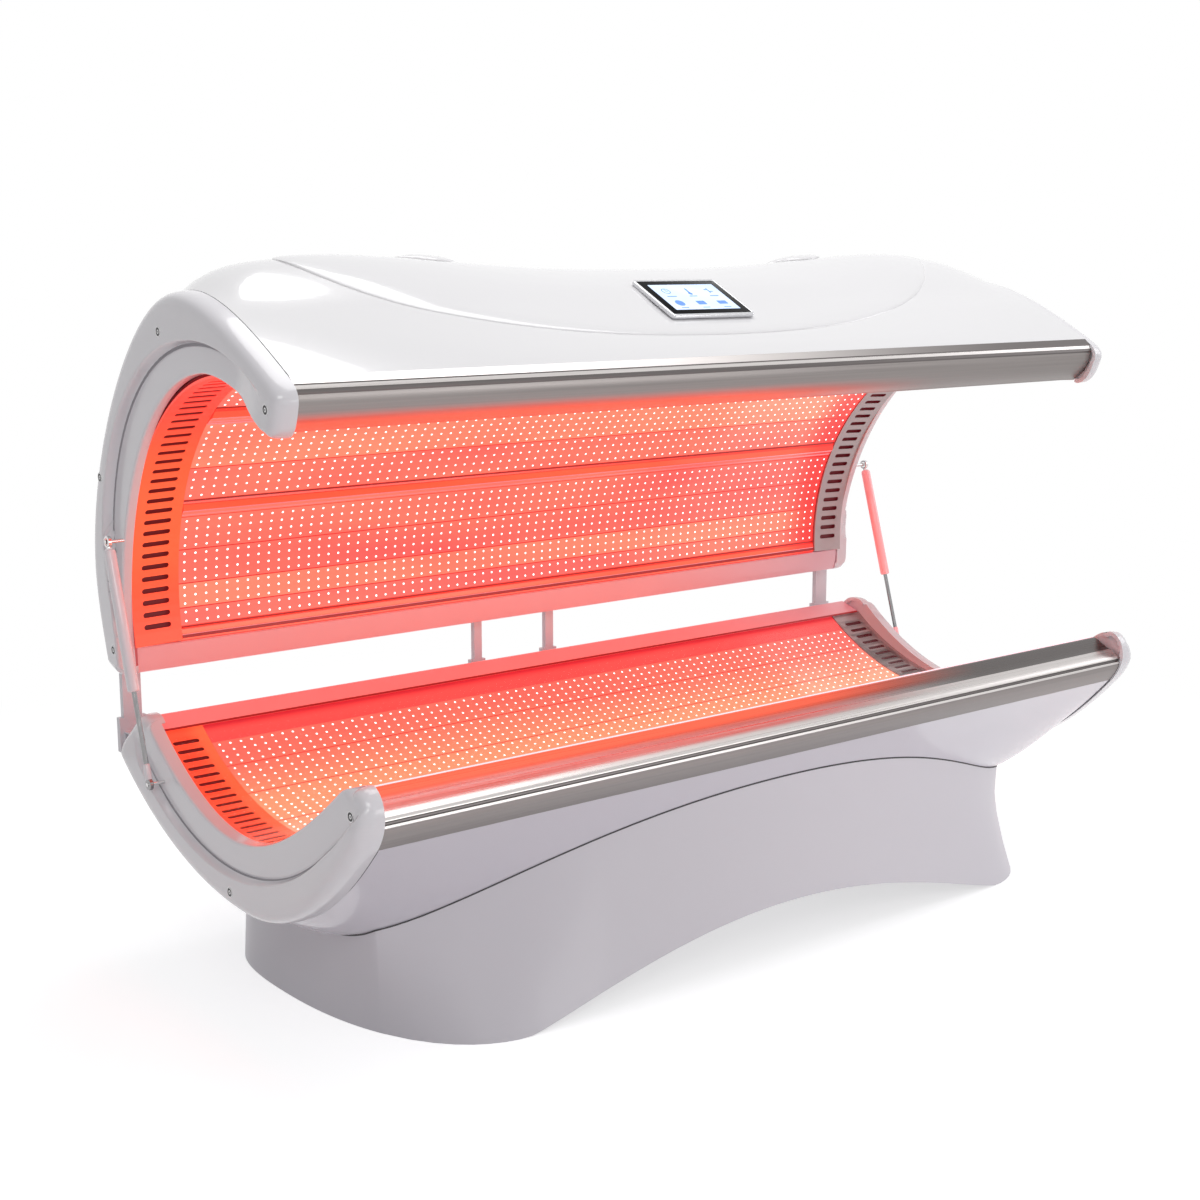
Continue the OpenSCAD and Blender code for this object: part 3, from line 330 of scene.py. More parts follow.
def material(name, a, b, rough, slot=None, metal=0, coat=0, scale=4, bump=None, glow=None, shade=(), fade=(), ior=1.5):
    """Procedural finish: colour from a to b and roughness between two values over one noise, fine bump over another.

    bump is (noise scale, strength, depth) and glow (colour, colour, strength, noise scale), the light of the lamps and
    also painted light. Each fade is (axis, from, to, colour) along the object, over the base colour, and paints light
    and shade into it; each shade is the same over the glow.
    """
    m, tree, co = blank(name, slot or name)

    def noise(size, detail):
        size = size if isinstance(size, tuple) else (size, size, size)
        stretch = feed(tree, "ShaderNodeMapping", {"Vector": co, "Scale": size}).outputs[0]
        return feed(tree, "ShaderNodeTexNoise", {"Vector": stretch, "Scale": 1.0, "Detail": detail}).outputs["Fac"]

    def over(result, layers):
        for axis, start, end, colour in layers:
            along = feed(tree, "ShaderNodeSeparateXYZ", {0: co}).outputs[axis]
            result = blend(tree, result, colour, ramp(tree, along, start, end))
        return result

    f = noise(scale, 3)
    spread = feed(tree, "ShaderNodeMapRange", {
        "Value": f, "From Min": 0.3, "From Max": 0.7, "To Min": rough[0], "To Max": rough[1]})
    values = {"Base Color": over(blend(tree, a, b, f), fade), "Roughness": spread.outputs[0], "Metallic": metal,
              "IOR": ior, "Coat Weight": coat, "Coat Roughness": 0.04}
    if bump:
        height = {"Height": noise(bump[0], 2), "Strength": bump[1], "Distance": bump[2]}
        values["Normal"] = feed(tree, "ShaderNodeBump", height).outputs[0]
    if glow:
        low, high, strength, *size = glow
        values["Emission Color"] = over(blend(tree, low, high, noise(size[0], 2) if size else f), shade)
        values["Emission Strength"] = strength
    feed(tree, "Principled BSDF", values)
    return m


FINE = (900, 0.03, 0.0004)
POWDER = (700, 0.12, 0.0006)
BRUSH = ((3, 900, 900), 0.12, 0.0004)
STREAK = (1.5, 240, 240)
DARK = (0, 0, 0)
RED_END = ("X", 0.80, 0.93, (0.95, 0.006, 0.012))


def gloss(name, a, b, rough, slot="white_casing", **more):
    return material(name, a, b, rough, slot, scale=1.5, bump=FINE, **more)


def brushed(name, a, b, rough=(0.3, 0.42), **more):
    return material(name, a, b, rough, "brushed_rail", metal=1, scale=STREAK, bump=BRUSH, **more)


def powder(name, a, b, rough, slot=None, **more):
    return material(name, a, b, rough, slot, bump=POWDER, **more)


def lit_red(name, a, b, rough, glow, **more):
    return material(name, a, b, rough, "red_reflector", glow=glow, **more)


def lit_board(name, a, b, *glow, shade):
    return material(name, a, b, (0.3, 0.4), "led_board", coat=0.2, glow=glow, shade=shade)


casing = gloss("gloss_casing", (0.86, 0.85, 0.87), (0.88, 0.87, 0.89), (0.15, 0.18), coat=0.7)
cap_white = gloss("gloss_cap", (0.81, 0.79, 0.83), (0.835, 0.815, 0.855), (0.2, 0.23), "white_cap", coat=0.5)
hull_white = gloss("gloss_hull", (0.75, 0.715, 0.785), (0.775, 0.74, 0.81), (0.18, 0.21), coat=0.5)
# painted light: the plinth's casing grows lighter from its left end towards the right, for the light falling there
base_white = gloss(
    "gloss_plinth", (0.66, 0.635, 0.68), (0.69, 0.66, 0.71), (0.34, 0.38), coat=0.1,
    fade=[("X", -0.85, 0.5, (0.8, 0.765, 0.82))])
# painted shade: a dark grey strip for the shade in the foot of each end cap's step
cap_shade_line = powder("cap_groove", (0.33, 0.31, 0.34), (0.37, 0.35, 0.38), (0.5, 0.6), "white_cap")
# painted red light: the canopy's rear rail is white lacquer, tinted pink and glowing red for the boards' light on it,
# less towards the right end
red_lit_rail = powder(
    "rail_lacquer", (0.66, 0.52, 0.54), (0.69, 0.55, 0.57), (0.3, 0.33), "white_rail", coat=0.2,
    glow=((0.24, 0.012, 0.012), (0.28, 0.016, 0.016), 1), shade=[("X", 0.2, 1.05, (0.12, 0.03, 0.05))])
# painted red light: the bed's rear rail likewise, redder, save its outer face from Y 0.424 out, which stays white
red_lit_bed_rail = powder(
    "rail_lacquer_bed", (0.66, 0.36, 0.36), (0.69, 0.39, 0.39), (0.3, 0.33), "white_rail", coat=0.2,
    glow=((0.42, 0.02, 0.02), (0.48, 0.03, 0.025), 1), fade=[("Y", 0.424, 0.4405, (0.8, 0.78, 0.81))],
    shade=[("X", 0.3, 1.05, (0.22, 0.07, 0.09)), ("Y", 0.424, 0.4405, DARK)])
paint = powder("powder_paint", (0.8, 0.78, 0.82), (0.84, 0.82, 0.86), (0.35, 0.5), "white_paint")
steel = brushed("brushed_steel", (0.5, 0.47, 0.46), (0.68, 0.65, 0.635), (0.24, 0.36))
# painted shade: darker steel for the underside of the bed's front rail
steel_dark = brushed("brushed_steel_shade", (0.2, 0.182, 0.178), (0.3, 0.275, 0.268))
# painted shade: near-black steel for the grooves and dark bands of both front rails
steel_deep = brushed("brushed_steel_deep", (0.11, 0.1, 0.098), (0.18, 0.163, 0.16))
# painted reflection: the canopy rail's upper band, light at its left end and darker towards the right
steel_top = brushed(
    "brushed_steel_upper", (0.7, 0.66, 0.645), (0.8, 0.76, 0.745), (0.44, 0.54),
    fade=[("X", -0.6, 0.9, (0.17, 0.155, 0.152))])
# painted red light: the canopy rail's lower part glows red-orange, fading out upwards and towards the right end
steel_lit = brushed(
    "brushed_steel_lit", (0.22, 0.2, 0.195), (0.31, 0.285, 0.275),
    glow=((0.8, 0.05, 0.025), (0.92, 0.085, 0.045), 0.9, (1, 10, 10)),
    shade=[("Z", 1.178, 1.209, DARK), ("X", -0.1, 0.6, DARK)])
# painted red light and painted shade: the top of the bed's front rail glows red by its inner edge, where the steel
# turns dark red, and darkens towards the right end
steel_bed = brushed(
    "brushed_steel_bed", (0.58, 0.55, 0.54), (0.72, 0.69, 0.68), (0.24, 0.34),
    fade=[("Y", -0.492, -0.47, (0.3, 0.05, 0.035)), ("X", 0.02, 0.6, (0.125, 0.113, 0.11))],
    glow=((0.95, 0.15, 0.08), (1, 0.2, 0.11), 0.85, (1, 10, 10)),
    shade=[("Y", -0.462, -0.488, DARK), ("X", -0.1, 0.62, DARK)])
bright = material("bright_steel", (0.66, 0.65, 0.65), (0.78, 0.77, 0.77), (0.14, 0.25), metal=1, scale=60, bump=FINE)
screw_steel = material(
    "screw_steel", (0.46, 0.455, 0.46), (0.58, 0.575, 0.58), (0.18, 0.28), "bright_steel", metal=1, scale=300)
socket = material("socket_shade", (0.015, 0.014, 0.016), (0.03, 0.028, 0.032), (0.5, 0.6), "bright_steel", scale=300)
grey_steel = powder("grey_steel", (0.34, 0.34, 0.36), (0.42, 0.42, 0.44), (0.4, 0.55), metal=0.4)
rubber = powder("black_rubber", (0.015, 0.015, 0.016), (0.03, 0.03, 0.032), (0.55, 0.7))
ribs = powder("rib_board", (0.5, 0.3, 0.3), (0.58, 0.36, 0.35), (0.5, 0.6))
plastic = powder("black_plastic", (0.02, 0.02, 0.022), (0.035, 0.035, 0.04), (0.3, 0.42))
red_plastic = material("red_plastic", (0.5, 0.02, 0.02), (0.6, 0.03, 0.03), (0.25, 0.35), bump=FINE)
grey_plastic = powder("grey_plastic", (0.6, 0.6, 0.61), (0.66, 0.66, 0.67), (0.35, 0.45))
alu = material("plain_aluminium", (0.52, 0.52, 0.53), (0.62, 0.62, 0.63), (0.35, 0.45), metal=0.9, bump=BRUSH)
circuit = material("circuit_board", (0.01, 0.1, 0.04), (0.02, 0.15, 0.06), (0.35, 0.5), scale=300)
strut_white = material(
    "strut_lacquer", (0.87, 0.83, 0.87), (0.9, 0.86, 0.9), (0.2, 0.24), "strut_white", coat=0.4, bump=FINE)
# painted red light: the right strut's lacquer, tinted pink and glowing red for the boards' light on it
strut_lit = material(
    "strut_lacquer_lit", (0.84, 0.62, 0.64), (0.87, 0.65, 0.67), (0.2, 0.24), "strut_white", coat=0.4, bump=FINE,
    glow=((0.3, 0.008, 0.01), (0.36, 0.012, 0.015), 1))
strut_metal = material(
    "strut_rod_steel", (0.24, 0.235, 0.24), (0.36, 0.355, 0.36), (0.12, 0.2), "strut_steel", metal=1,
    scale=(200, 200, 8))
board_glow = lit_board(
    "light_board", (0.35, 0.03, 0.02), (0.4, 0.05, 0.03), (1, 0.03, 0.08), (1, 0.36, 0.205), 0.86, (1.5, 6, 6),
    shade=[RED_END])
board_orange = lit_board(
    "light_board_warm", (0.4, 0.06, 0.03), (0.45, 0.08, 0.04), (1, 0.12, 0.1), (1, 0.42, 0.24), 0.88, (1.5, 6, 6),
    shade=[RED_END])
board_tub = lit_board(
    "light_board_bed", (0.4, 0.06, 0.03), (0.45, 0.08, 0.04), (1, 0.06, 0.08), (1, 0.24, 0.15), 0.86, (1.5, 5, 5),
    shade=[("Y", 0.28, 0.08, (1, 0.37, 0.19)), ("Y", -0.12, -0.38, (1, 0.17, 0.13))])
# painted red light: the reflector, its folds and joints and the ledge band are no lamps; their red tint and glow stand
# for the boards' light on them
joint = lit_red(
    "board_joint", (0.3, 0.01, 0.01), (0.36, 0.02, 0.02), (0.4, 0.5),
    ((0.55, 0.022, 0.02), (0.72, 0.05, 0.04), 0.8, (1.5, 6, 6)))
# painted red light on the band under the bed's rear ledge, darker towards its top: painted shade
ledge_red = lit_red(
    "ledge_red", (0.4, 0.02, 0.02), (0.5, 0.03, 0.03), (0.3, 0.4),
    ((0.95, 0.055, 0.06), (1, 0.11, 0.09), 0.78, (1.5, 5, 5)), shade=[("Z", 0.477, 0.493, (0.5, 0.012, 0.03))])
reflector = lit_red(
    "red_reflector", (0.55, 0.03, 0.02), (0.65, 0.05, 0.03), (0.15, 0.25),
    ((1, 0.04, 0.03), (1, 0.1, 0.06), 0.62, (1.2, 14, 14)), metal=0.3, shade=[RED_END])
# painted light: the brighter red of each fold's lit face
fold_bright = lit_red(
    "fold_bright", (0.6, 0.06, 0.03), (0.7, 0.09, 0.05), (0.15, 0.25),
    ((1, 0.07, 0.035), (1, 0.17, 0.08), 0.72, (1.2, 14, 14)), metal=0.3, shade=[RED_END])
# painted highlight: the pinkish line along the folds' ridges and a board's edge
fold_line = lit_red(
    "fold_edge", (0.6, 0.35, 0.38), (0.7, 0.42, 0.45), (0.2, 0.3),
    ((0.42, 0.12, 0.15), (0.5, 0.17, 0.2), 0.8, (1.2, 14, 14)), metal=0.5)
# painted shade: dark red for the grooves beside the boards and at the ledge
reflector_shade = lit_red(
    "red_groove", (0.2, 0.005, 0.005), (0.3, 0.01, 0.01), (0.3, 0.4),
    ((0.22, 0.002, 0.004), (0.42, 0.008, 0.01), 0.5, (1.2, 14, 14)))
duct = powder(
    "duct_lining", (0.05, 0.006, 0.008), (0.09, 0.012, 0.014), (0.5, 0.6), "rib_board",
    glow=((0.07, 0.004, 0.008), (0.15, 0.008, 0.012), 0.6, 9))
# painted light: the front edge of the clear sheet glows pinkish white for the boards' light caught in it
glowing_rim = material(
    "sheet_edge", (0.85, 0.7, 0.74), (0.9, 0.76, 0.8), (0.15, 0.25), "clear_acrylic",
    glow=((1, 0.52, 0.6), (1, 0.66, 0.72), 0.7, 3))
lamp = material(
    "diode_lens", (0.9, 0.75, 0.72), (1, 0.9, 0.88), (0.15, 0.25), "led_board",
    glow=((1, 0.9, 0.86), (1, 1, 0.98), 1.6))
# painted light: the left grilles glow orange-red for the boards' light falling on them, shaded along their length; the
# right ones are plain steel
grille_left = powder(
    "grille_lit", (0.55, 0.1, 0.05), (0.62, 0.14, 0.07), (0.3, 0.4), "grille_sheet", metal=0.3,
    glow=((1, 0.085, 0.03), (1, 0.15, 0.05), 0.7, (2, 5, 5)),
    shade=[("Z", 1.02, 1.22, (0.95, 0.035, 0.04)), ("Z", 0.86, 0.68, (1, 0.05, 0.03))])
grille_left_tub = powder(
    "grille_lit_bed", (0.55, 0.1, 0.05), (0.62, 0.14, 0.07), (0.3, 0.4), "grille_sheet", metal=0.3,
    glow=((1, 0.05, 0.025), (1, 0.09, 0.035), 0.7, (2, 5, 5)),
    shade=[("X", -1, -0.95, (1, 0.15, 0.055)), ("Y", 0.02, -0.2, (1, 0.2, 0.12))])
grille_right = powder(
    "grille_steel", (0.4, 0.345, 0.345), (0.47, 0.41, 0.41), (0.36, 0.46), "grille_sheet", metal=0.6, scale=30)
black_strip = powder("seam_gasket", (0.035, 0.032, 0.036), (0.055, 0.05, 0.056), (0.5, 0.6), "black_rubber")
frame_silver = material(
    "screen_frame", (0.62, 0.62, 0.64), (0.7, 0.7, 0.72), (0.16, 0.24), metal=0.9, scale=40, bump=FINE)
glass_black = material(
    "screen_black", (0.004, 0.004, 0.005), (0.008, 0.008, 0.01), (0.1, 0.14), "screen_face", scale=40, ior=1.12)
display = material(
    "screen_lit", (0.3, 0.4, 0.6), (0.4, 0.5, 0.7), (0.15, 0.25), "screen_face",
    glow=((0.42, 0.6, 1), (0.88, 0.94, 1), 0.8, 14))
icon = material(
    "screen_icon", (0.05, 0.15, 0.6), (0.08, 0.2, 0.7), (0.2, 0.3), "screen_face",
    glow=((0.05, 0.2, 0.8), (0.12, 0.34, 0.95), 0.55))


def acrylic_material():
    m, tree, co = blank("clear_sheet", "clear_acrylic")
    grain = feed(tree, "ShaderNodeTexNoise", {"Vector": co, "Scale": 6}).outputs["Fac"]
    feed(tree, "Principled BSDF", {
        "Base Color": blend(tree, (1, 0.95, 0.94), (1, 0.98, 0.97), grain), "Roughness": 0.02, "IOR": 1.03,
        "Alpha": 0.22, "Transmission Weight": 1.0, "Coat Weight": 1.0, "Coat Roughness": 0.02, "Coat IOR": 1.4})
    return m


clear_sheet = acrylic_material()

# the first of these words found in a node's name gives its finish
FINISHES = (
    ("base_frame", grey_steel), ("feet", rubber), ("ribs", ribs), ("tub_shell", hull_white), ("base_", base_white),
    ("grille_right", grille_right), ("tub_grille", grille_left_tub), ("grille", grille_left), ("reflector", reflector),
    ("led_board", board_glow), ("acrylic", clear_sheet), ("outlet_covers", casing), ("fan", plastic), ("supplies", alu),
    ("control_box", grey_plastic), ("inlet", plastic), ("gland", plastic), ("rocker", red_plastic), ("pins", bright),
    ("hinge", paint), ("studs", bright), ("screws", bright), ("screen_board", circuit), ("screen_glass", glass_black),
    ("bezel", frame_silver), ("strut_rod", strut_metal), ("cylinder", strut_white), ("end_cap", cap_white),
    ("front_rail", steel), ("tub_rear_rail", red_lit_bed_rail), ("rear_rail", red_lit_rail), ("canopy_", casing),
)
for name, o in CAD.items():
    finish = next(finish for word, finish in FINISHES if word in name)
    if not o.data.materials:
        o.data.materials.append(finish)
    for k in range(len(o.data.materials)):
        o.data.materials[k] = finish

# ------ casings

SHEET = 4


def skin(d):
    edge = shifted(CANOPY_CURVE, d)
    x = end_x(edge[:, 0], edge[:, 1]) - 0.6
    return np.array([np.column_stack([s * x, shifted(section(s), d)]) for s in np.linspace(-1, 1, 73)])


piece("canopy_casing", *slab(skin(0), skin(-SHEET)), casing, "canopy", ["canopy_shell"])

COVER_HALF, COVER_Y = 900, 50


def cover_grid(h, shrink):
    out = []
    for i in range(97):
        x = (COVER_HALF - shrink * 3) * math.sin(math.radians(90 * (i / 48 - 1)))
        share = max(1 - (abs(x) / COVER_HALF) ** 2.2, 0.0004) ** 0.6
        a, b = COVER_Y - 308 * share + shrink, COVER_Y + 240 * share - shrink
        if b < a:
            a = b = (a + b) / 2
        out.append([(x, y, roof_z(x, y) + h) for y in np.linspace(a, b, 41)])
    return np.array(out)


def cover_shell():
    """The cover's top, with its edge turned down over a soft radius to a narrow shadow gap."""
    steps = [(7.8, 46.0), (7.2, 30.0), (6.0, 16.0), (4.5, 7.0), (3.0, 2.6), (1.5, 0.6), (0.15, 0.0)]
    grids = [cover_grid(h, d) for h, d in steps]
    r, c = grids[0].shape[:2]
    ring = border(r, c)
    faces = grid_faces(r, c) + grid_faces(r, c, r * c, True)
    n, k = 2 * r * c, len(ring)
    verts = [g.reshape(-1, 3) for g in (grids[0], grids[-1])]
    verts += [np.array([g[i, j] for i, j in ring]) for g in grids]
    for a in range(len(grids) - 1):
        for j in range(k):
            q = (j + 1) % k
            faces.append([n + a * k + j, n + a * k + q, n + (a + 1) * k + q, n + (a + 1) * k + j])
    return np.concatenate(verts), faces


piece("canopy_cover", *cover_shell(), casing, "canopy", ["canopy_top_cover"], crease=50)

HULL_X = [k * TUB_HALF for k in np.sin(np.linspace(-math.pi / 2, math.pi / 2, 61))]
HULL_X[0], HULL_X[-1] = -TUB_HALF + 0.6, TUB_HALF - 0.6
piece("tub_casing", *slab(*(np.array([hull_row(x, d) for x in HULL_X]) for d in (0, -SHEET))), hull_white, "bed_base",
      ["tub_shell"])

# ------ rails


def tub_x(p):
    return TUB_HALF


def canopy_x(p):
    return end_x(*p)


def rail(name, outline, kinds, half, mats, body, node, bevel):
    v, f = prism(outline, half)
    piece(name, v, f, mats, body, [node], mats=list(kinds) + [0, 0], bevel=bevel, crease=12)


tub_rail = chain(
    bezier([(-500, 455), (-512, 470), (-523, 484), (-525, 500)], 4),
    [(-524.2, 505), (-521, 506), (-520.2, 510), (-522, 511.5), (-521.5, 514)],
    bezier([(-521.5, 514), (-519, 521), (-505, 528), (-494, 531)], 5),
    bezier([(-494, 531), (-480, 536), (-466, 546), (-452, 552)], 5), [(-446, 553), (-440, 553)],
    [shifted(BED_CURVE, 7)[-1], shifted(BED_CURVE, -3.1)[-1], shifted(TUB_CURVE, -SHEET)[0]])
# faces of the bed's front rail: 1 the underside in painted shade, 3 the notch in painted shade, 2 the top with painted
# red light
kinds = [1 if z < 500 else 3 if 505 <= z < 511 else 2 if z > 530 else 0 for z in tub_rail[:, 1]]
rail("tub_rail_front", tub_rail, kinds, tub_x, [steel, steel_dark, steel_bed, steel_deep], "bed_base",
     "tub_front_rail", 0.8)

RT = np.array([-339.0, 1268.0])
canopy_rail = chain(
    [RT, RT + (-2.5, -1.5)], [RT + (-15, -13)], [RT + (-15.6, -15.5), RT + (-19.5, -22)],
    [RT + (-21.5, -28), RT + (-19.8, -31.5), RT + (-20, -34)],
    bezier([RT + (-20, -34), RT + (-22, -48), RT + (-8, -84), LIP + (-4, 3)], 8), [LIP + (-1, 0.4), LIP],
    [shifted(LIGHT_CURVE, -3.1)[0], shifted(CANOPY_CURVE, -SHEET)[-1]])
# faces of the canopy's front rail: 1 the upper band with painted reflection, 3 its grooves in painted shade, 2 the
# lower part with painted red light
kinds = [1 if drop < 12 else 0 if 14 < drop < 20 else 3 if drop < 31 else 2 for drop in RT[1] - canopy_rail[:, 1]]
rail("canopy_rail_front", canopy_rail, kinds, canopy_x, [steel, steel_top, steel_lit, steel_deep], "canopy",
     "canopy_front_rail", 0.8)

tub_rear = TUB_CURVE[-1]
bed_rear = shifted(BED_CURVE, 7)[0]
rear = chain(
    [tub_rear, (441, tub_rear[1] + 3), (441, 476)], bezier([(441, 476), (438, 492), (414, 512), (398, 517)], 6),
    [(395, 517), bed_rear + (4, 2), bed_rear, shifted(BED_CURVE, -3.1)[0], shifted(TUB_CURVE, -SHEET)[-1]])
rail("tub_rail_rear", rear, [0] * len(rear), tub_x, [red_lit_bed_rail], "bed_base", "tub_rear_rail", 2)
light_rear = LIGHT_CURVE[-1]
rear = chain(
    [shifted(LIGHT_CURVE, -3.1)[-1], light_rear, light_rear + (8, -4)],
    bezier([light_rear + (8, -4), (430, 640), (434, 612), (438, 604)], 5),
    bezier([(438, 604), (444, 600), (455, 601), (456, 608)], 5), [(456, 640), (476, 646), (476, 664)])
rail("canopy_rail_rear", rear, [0] * len(rear), canopy_x, [red_lit_rail], "canopy", "canopy_rear_rail", 2)

# ------ end caps


CAP_FOOT = 0.8
CANOPY_WEB, CANOPY_BAND, TUB_WEB, TUB_BAND = 26, 46, 40, 57
STEP_CENTRE, STEP_R = (-45, 813), 504


def row_pairs(outer, inner, keys, n):
    """Points along both edges, matched at the given shares of their lengths."""
    t = np.linspace(0, 1, n)
    t = t - 0.06 * np.sin(2 * math.pi * t)
    u = np.linspace(0, 1, len(keys))
    return [at_length(line, np.interp(t, u, np.array(shares)) * lengths(line)[-1])
            for line, shares in zip((outer, inner), zip(*keys))]


def share_of(line, p):
    run = lengths(line)
    return run[int(np.argmin(np.linalg.norm(line - np.array(p), axis=1)))] / run[-1]


def cap(outer, inner, step, step_in, levels, keys, radius, back, place, label, body):
    """An end cap: a rounded outer band and a step down to the web; levels gives the heights of both."""
    o, i = row_pairs(outer, inner, [(share_of(outer, p), share_of(inner, q)) for p, q in keys], 300)
    w = np.concatenate([[0, 0.004, 0.012, 0.025, 0.045, 0.07, 0.1, 0.14, 0.18, 0.23], np.linspace(0.26, 0.94, 80),
                        [0.96, 0.975, 0.987, 0.995, 1]])
    p = o[:, None] * (1 - w[None, :, None]) + i[:, None] * w[None, :, None]
    d_out, d_in, d_step = distance(p, outer), distance(p, inner), distance(p, step)
    s = np.where(step_in(p), -d_step, d_step)
    web, band = levels(p)
    h = web + (band - web) * smooth((s + 3.5) / 8) - (band - web) * 0.09 * np.exp(-((s + 6) / 3) ** 2)
    f = (1 - (1 - np.clip(d_out / radius, 0, 1)) ** 2.9) ** (1 / 2.9)
    top = CAP_FOOT + (h - CAP_FOOT) * f
    g = np.sqrt(1 - (1 - np.clip(d_in / 5.0, 0, 1)) ** 2)
    top = top - (1 - g) * np.minimum(5, np.maximum(top - back, 0))
    under = np.minimum(np.where(d_out < 10, CAP_FOOT - 0.2, back), top - 0.2)
    piece(label, *slab(place(np.dstack([top, p])), place(np.dstack([under, p]))), cap_white, body,
          [label.replace("_cap_", "_end_cap_")], crease=60)


def cap_groove(line, shift, height, width, place, label, body):
    """Painted shade in the foot of the step: a dark line, which narrows towards both ends."""
    share = np.linspace(0, 1, len(line))
    half = width / 2 * np.clip(np.minimum(share, 1 - share) / 0.12, 0.03, 1)[:, None]
    middle, normal = shifted(line, shift), shifted(line, 1) - line
    grids = []
    for x in (height, height - 2):
        edges = [np.column_stack([np.full(len(line), x), middle + normal * half * k]) for k in (-1, 0, 1)]
        grids.append(place(np.stack(edges, 1)))
    piece(label, *slab(*grids), cap_shade_line, body, crease=60)


canopy_outer = chain(
    [(431, 610)], bezier([(431, 610), (433, 603), (441, 600), (452, 603)], 6),
    bezier([(452, 603), (470, 609), (494, 612), (500, 625)], 8), CANOPY_CURVE,
    bezier([(-339, 1268), (-358, 1256), (-376, 1246), (-372, 1222)], 10),
    bezier([(-372, 1222), (-364, 1196), (-354, 1170), (-335, 1163)], 10), [(-326, 1161), (-318, 1163)])
canopy_inner = chain(
    [(431, 610)], [(430.6, 622), (430.6, 640)], bezier([(431, 657), (440, 900), (265, 1243), (-50, 1258)], 60),
    bezier([(-50, 1258), (-140, 1258), (-250, 1215), (-318, 1171)], 30), [(-318, 1163)])
canopy_keys = [((431, 610), (431, 610)), ((500, 625), (431, 657)), ((528, 805), (431, 760)), ((30, 1407), (-50, 1258)),
               ((-339, 1268), (-285, 1192)), ((-372, 1222), (-305, 1180)), ((-318, 1163), (-318, 1163))]
canopy_step = chain(
    [(431, 690), (434, 700)], bezier([(434, 700), (440, 760), (448, 850), (448, 918)], 10),
    arc(STEP_CENTRE, STEP_R, 12, 121, 80), [(-312, 1226)])


def round_step(p):
    """Distance and angle from the centre of the canopy step's arc."""
    q = p - np.array(STEP_CENTRE, float)
    return np.linalg.norm(q, axis=-1), np.degrees(np.arctan2(q[..., 1], q[..., 0]))


def canopy_inside(p):
    """The recessed part of the face: inside the step's arc, and clear of the heel."""
    r, angle = round_step(p)
    y, z = p[..., 0], p[..., 1]
    return (r < STEP_R) & (angle > 12) | (z <= 918) & (y < 434 + 12 * smooth((z - 700) / 200)) & (z > 690)


def canopy_levels(p):
    """The web rises to the band towards the front tip."""
    return CANOPY_WEB + (CANOPY_BAND - CANOPY_WEB) * smooth((round_step(p)[1] - 107) / 17), CANOPY_BAND


for side, label in SIDES:
    place = partial(canopy_end, side=side)
    cap(canopy_outer, canopy_inner, canopy_step, canopy_inside, canopy_levels, canopy_keys, 27, 6, place,
        "canopy_cap_" + label, "canopy")
    cap_groove(canopy_step[6:-4], -5.4, CANOPY_WEB - 0.1, 6.4, place, "canopy_cap_groove_" + label, "canopy")

ear = np.array([350.0, 535.0])
tub_low = shifted(TUB_CURVE, 3)[::-1]
tub_outer = chain(
    [ear + (-25, -9)], bezier([ear + (-25, -9), ear + (-14, 1), ear + (16, 1), ear + (30, -9)], 8),
    bezier([ear + (30, -9), (405, 506), (436, 480), (440.7, 455)], 10), tub_low,
    bezier([tub_low[-1], (-517, 470), (-530, 492), (-532, 512)], 8),
    bezier([(-532, 512), (-535, 535), (-526, 562), (-502, 572)], 10),
    bezier([(-502, 572), (-496, 574), (-486, 573), (-482, 568)], 4))
tub_inner = chain(
    bezier([ear + (-25, -9), ear + (-34, -16), ear + (-40, -22), (303, 507)], 4),
    bezier([(303, 507), (200, 425), (80, 366), (-46, 366)], 50),
    bezier([(-46, 366), (-170, 366), (-300, 440), (-435, 547)], 50),
    bezier([(-435, 547), (-450, 560), (-468, 570), (-482, 568)], 6))
tub_step = chain(
    arc((-40, 875), 574, -40, -128, 80), bezier([(-393.4, 422.7), (-440, 459), (-494, 492), (-523, 545)], 16))
tub_keys = [
    (ear + (-25, -9), ear + (-25, -9)), ((440.7, 455), (303, 507)), (tub_low[len(tub_low) // 3], (180, 415)),
    ((-115, 229), (-46, 366)), (tub_low[-1], (-400, 519)), ((-532, 512), (-435, 547)), ((-482, 568), (-482, 568))]


def tub_inside(p):
    return p[..., 1] > np.interp(p[..., 0], tub_step[::-1, 0], tub_step[::-1, 1])


def tub_levels(p):
    """The band sinks to the web towards both tips."""
    y, z = p[..., 0], p[..., 1]
    return TUB_WEB, TUB_BAND - (TUB_BAND - TUB_WEB) * np.where(y < 0, smooth((z - 495) / 70), smooth((z - 430) / 70))


for side, label in SIDES:
    place = partial(tub_end, side=side)
    cap(tub_outer, tub_inner, tub_step, tub_inside, tub_levels, tub_keys, 30, 10, place, "tub_cap_" + label, "bed_base")
    cap_groove(tub_step[10:-2], 4.6, TUB_WEB - 0.1, 3.0, place, "tub_cap_groove_" + label, "bed_base")


def ribbon(name, line, place, x0, x1, d, t, mat, body, crease=30):
    """A strip under a curve at both ends of the bed: d and t are how far out it lies and how thick it is."""
    sheet = slab(*(np.array([[(x, *p) for p in shifted(line, k)] for x in (x0, x1)]) for k in (d, d - t)))
    piece(name, *merge([(place(sheet[0], side), sheet[1]) for side in (-1, 1)]), mat, body, crease=crease)


# near-black strips along the joints between the end caps and the casings
ribbon("canopy_seam", CANOPY_CURVE[2:], canopy_end, -0.8, 1.2, -1.0, 3, black_strip, "canopy")
ribbon("tub_seam", TUB_CURVE, tub_end, -4.2, 0.6, 1.0, 3, black_strip, "bed_base")

# ------ screws


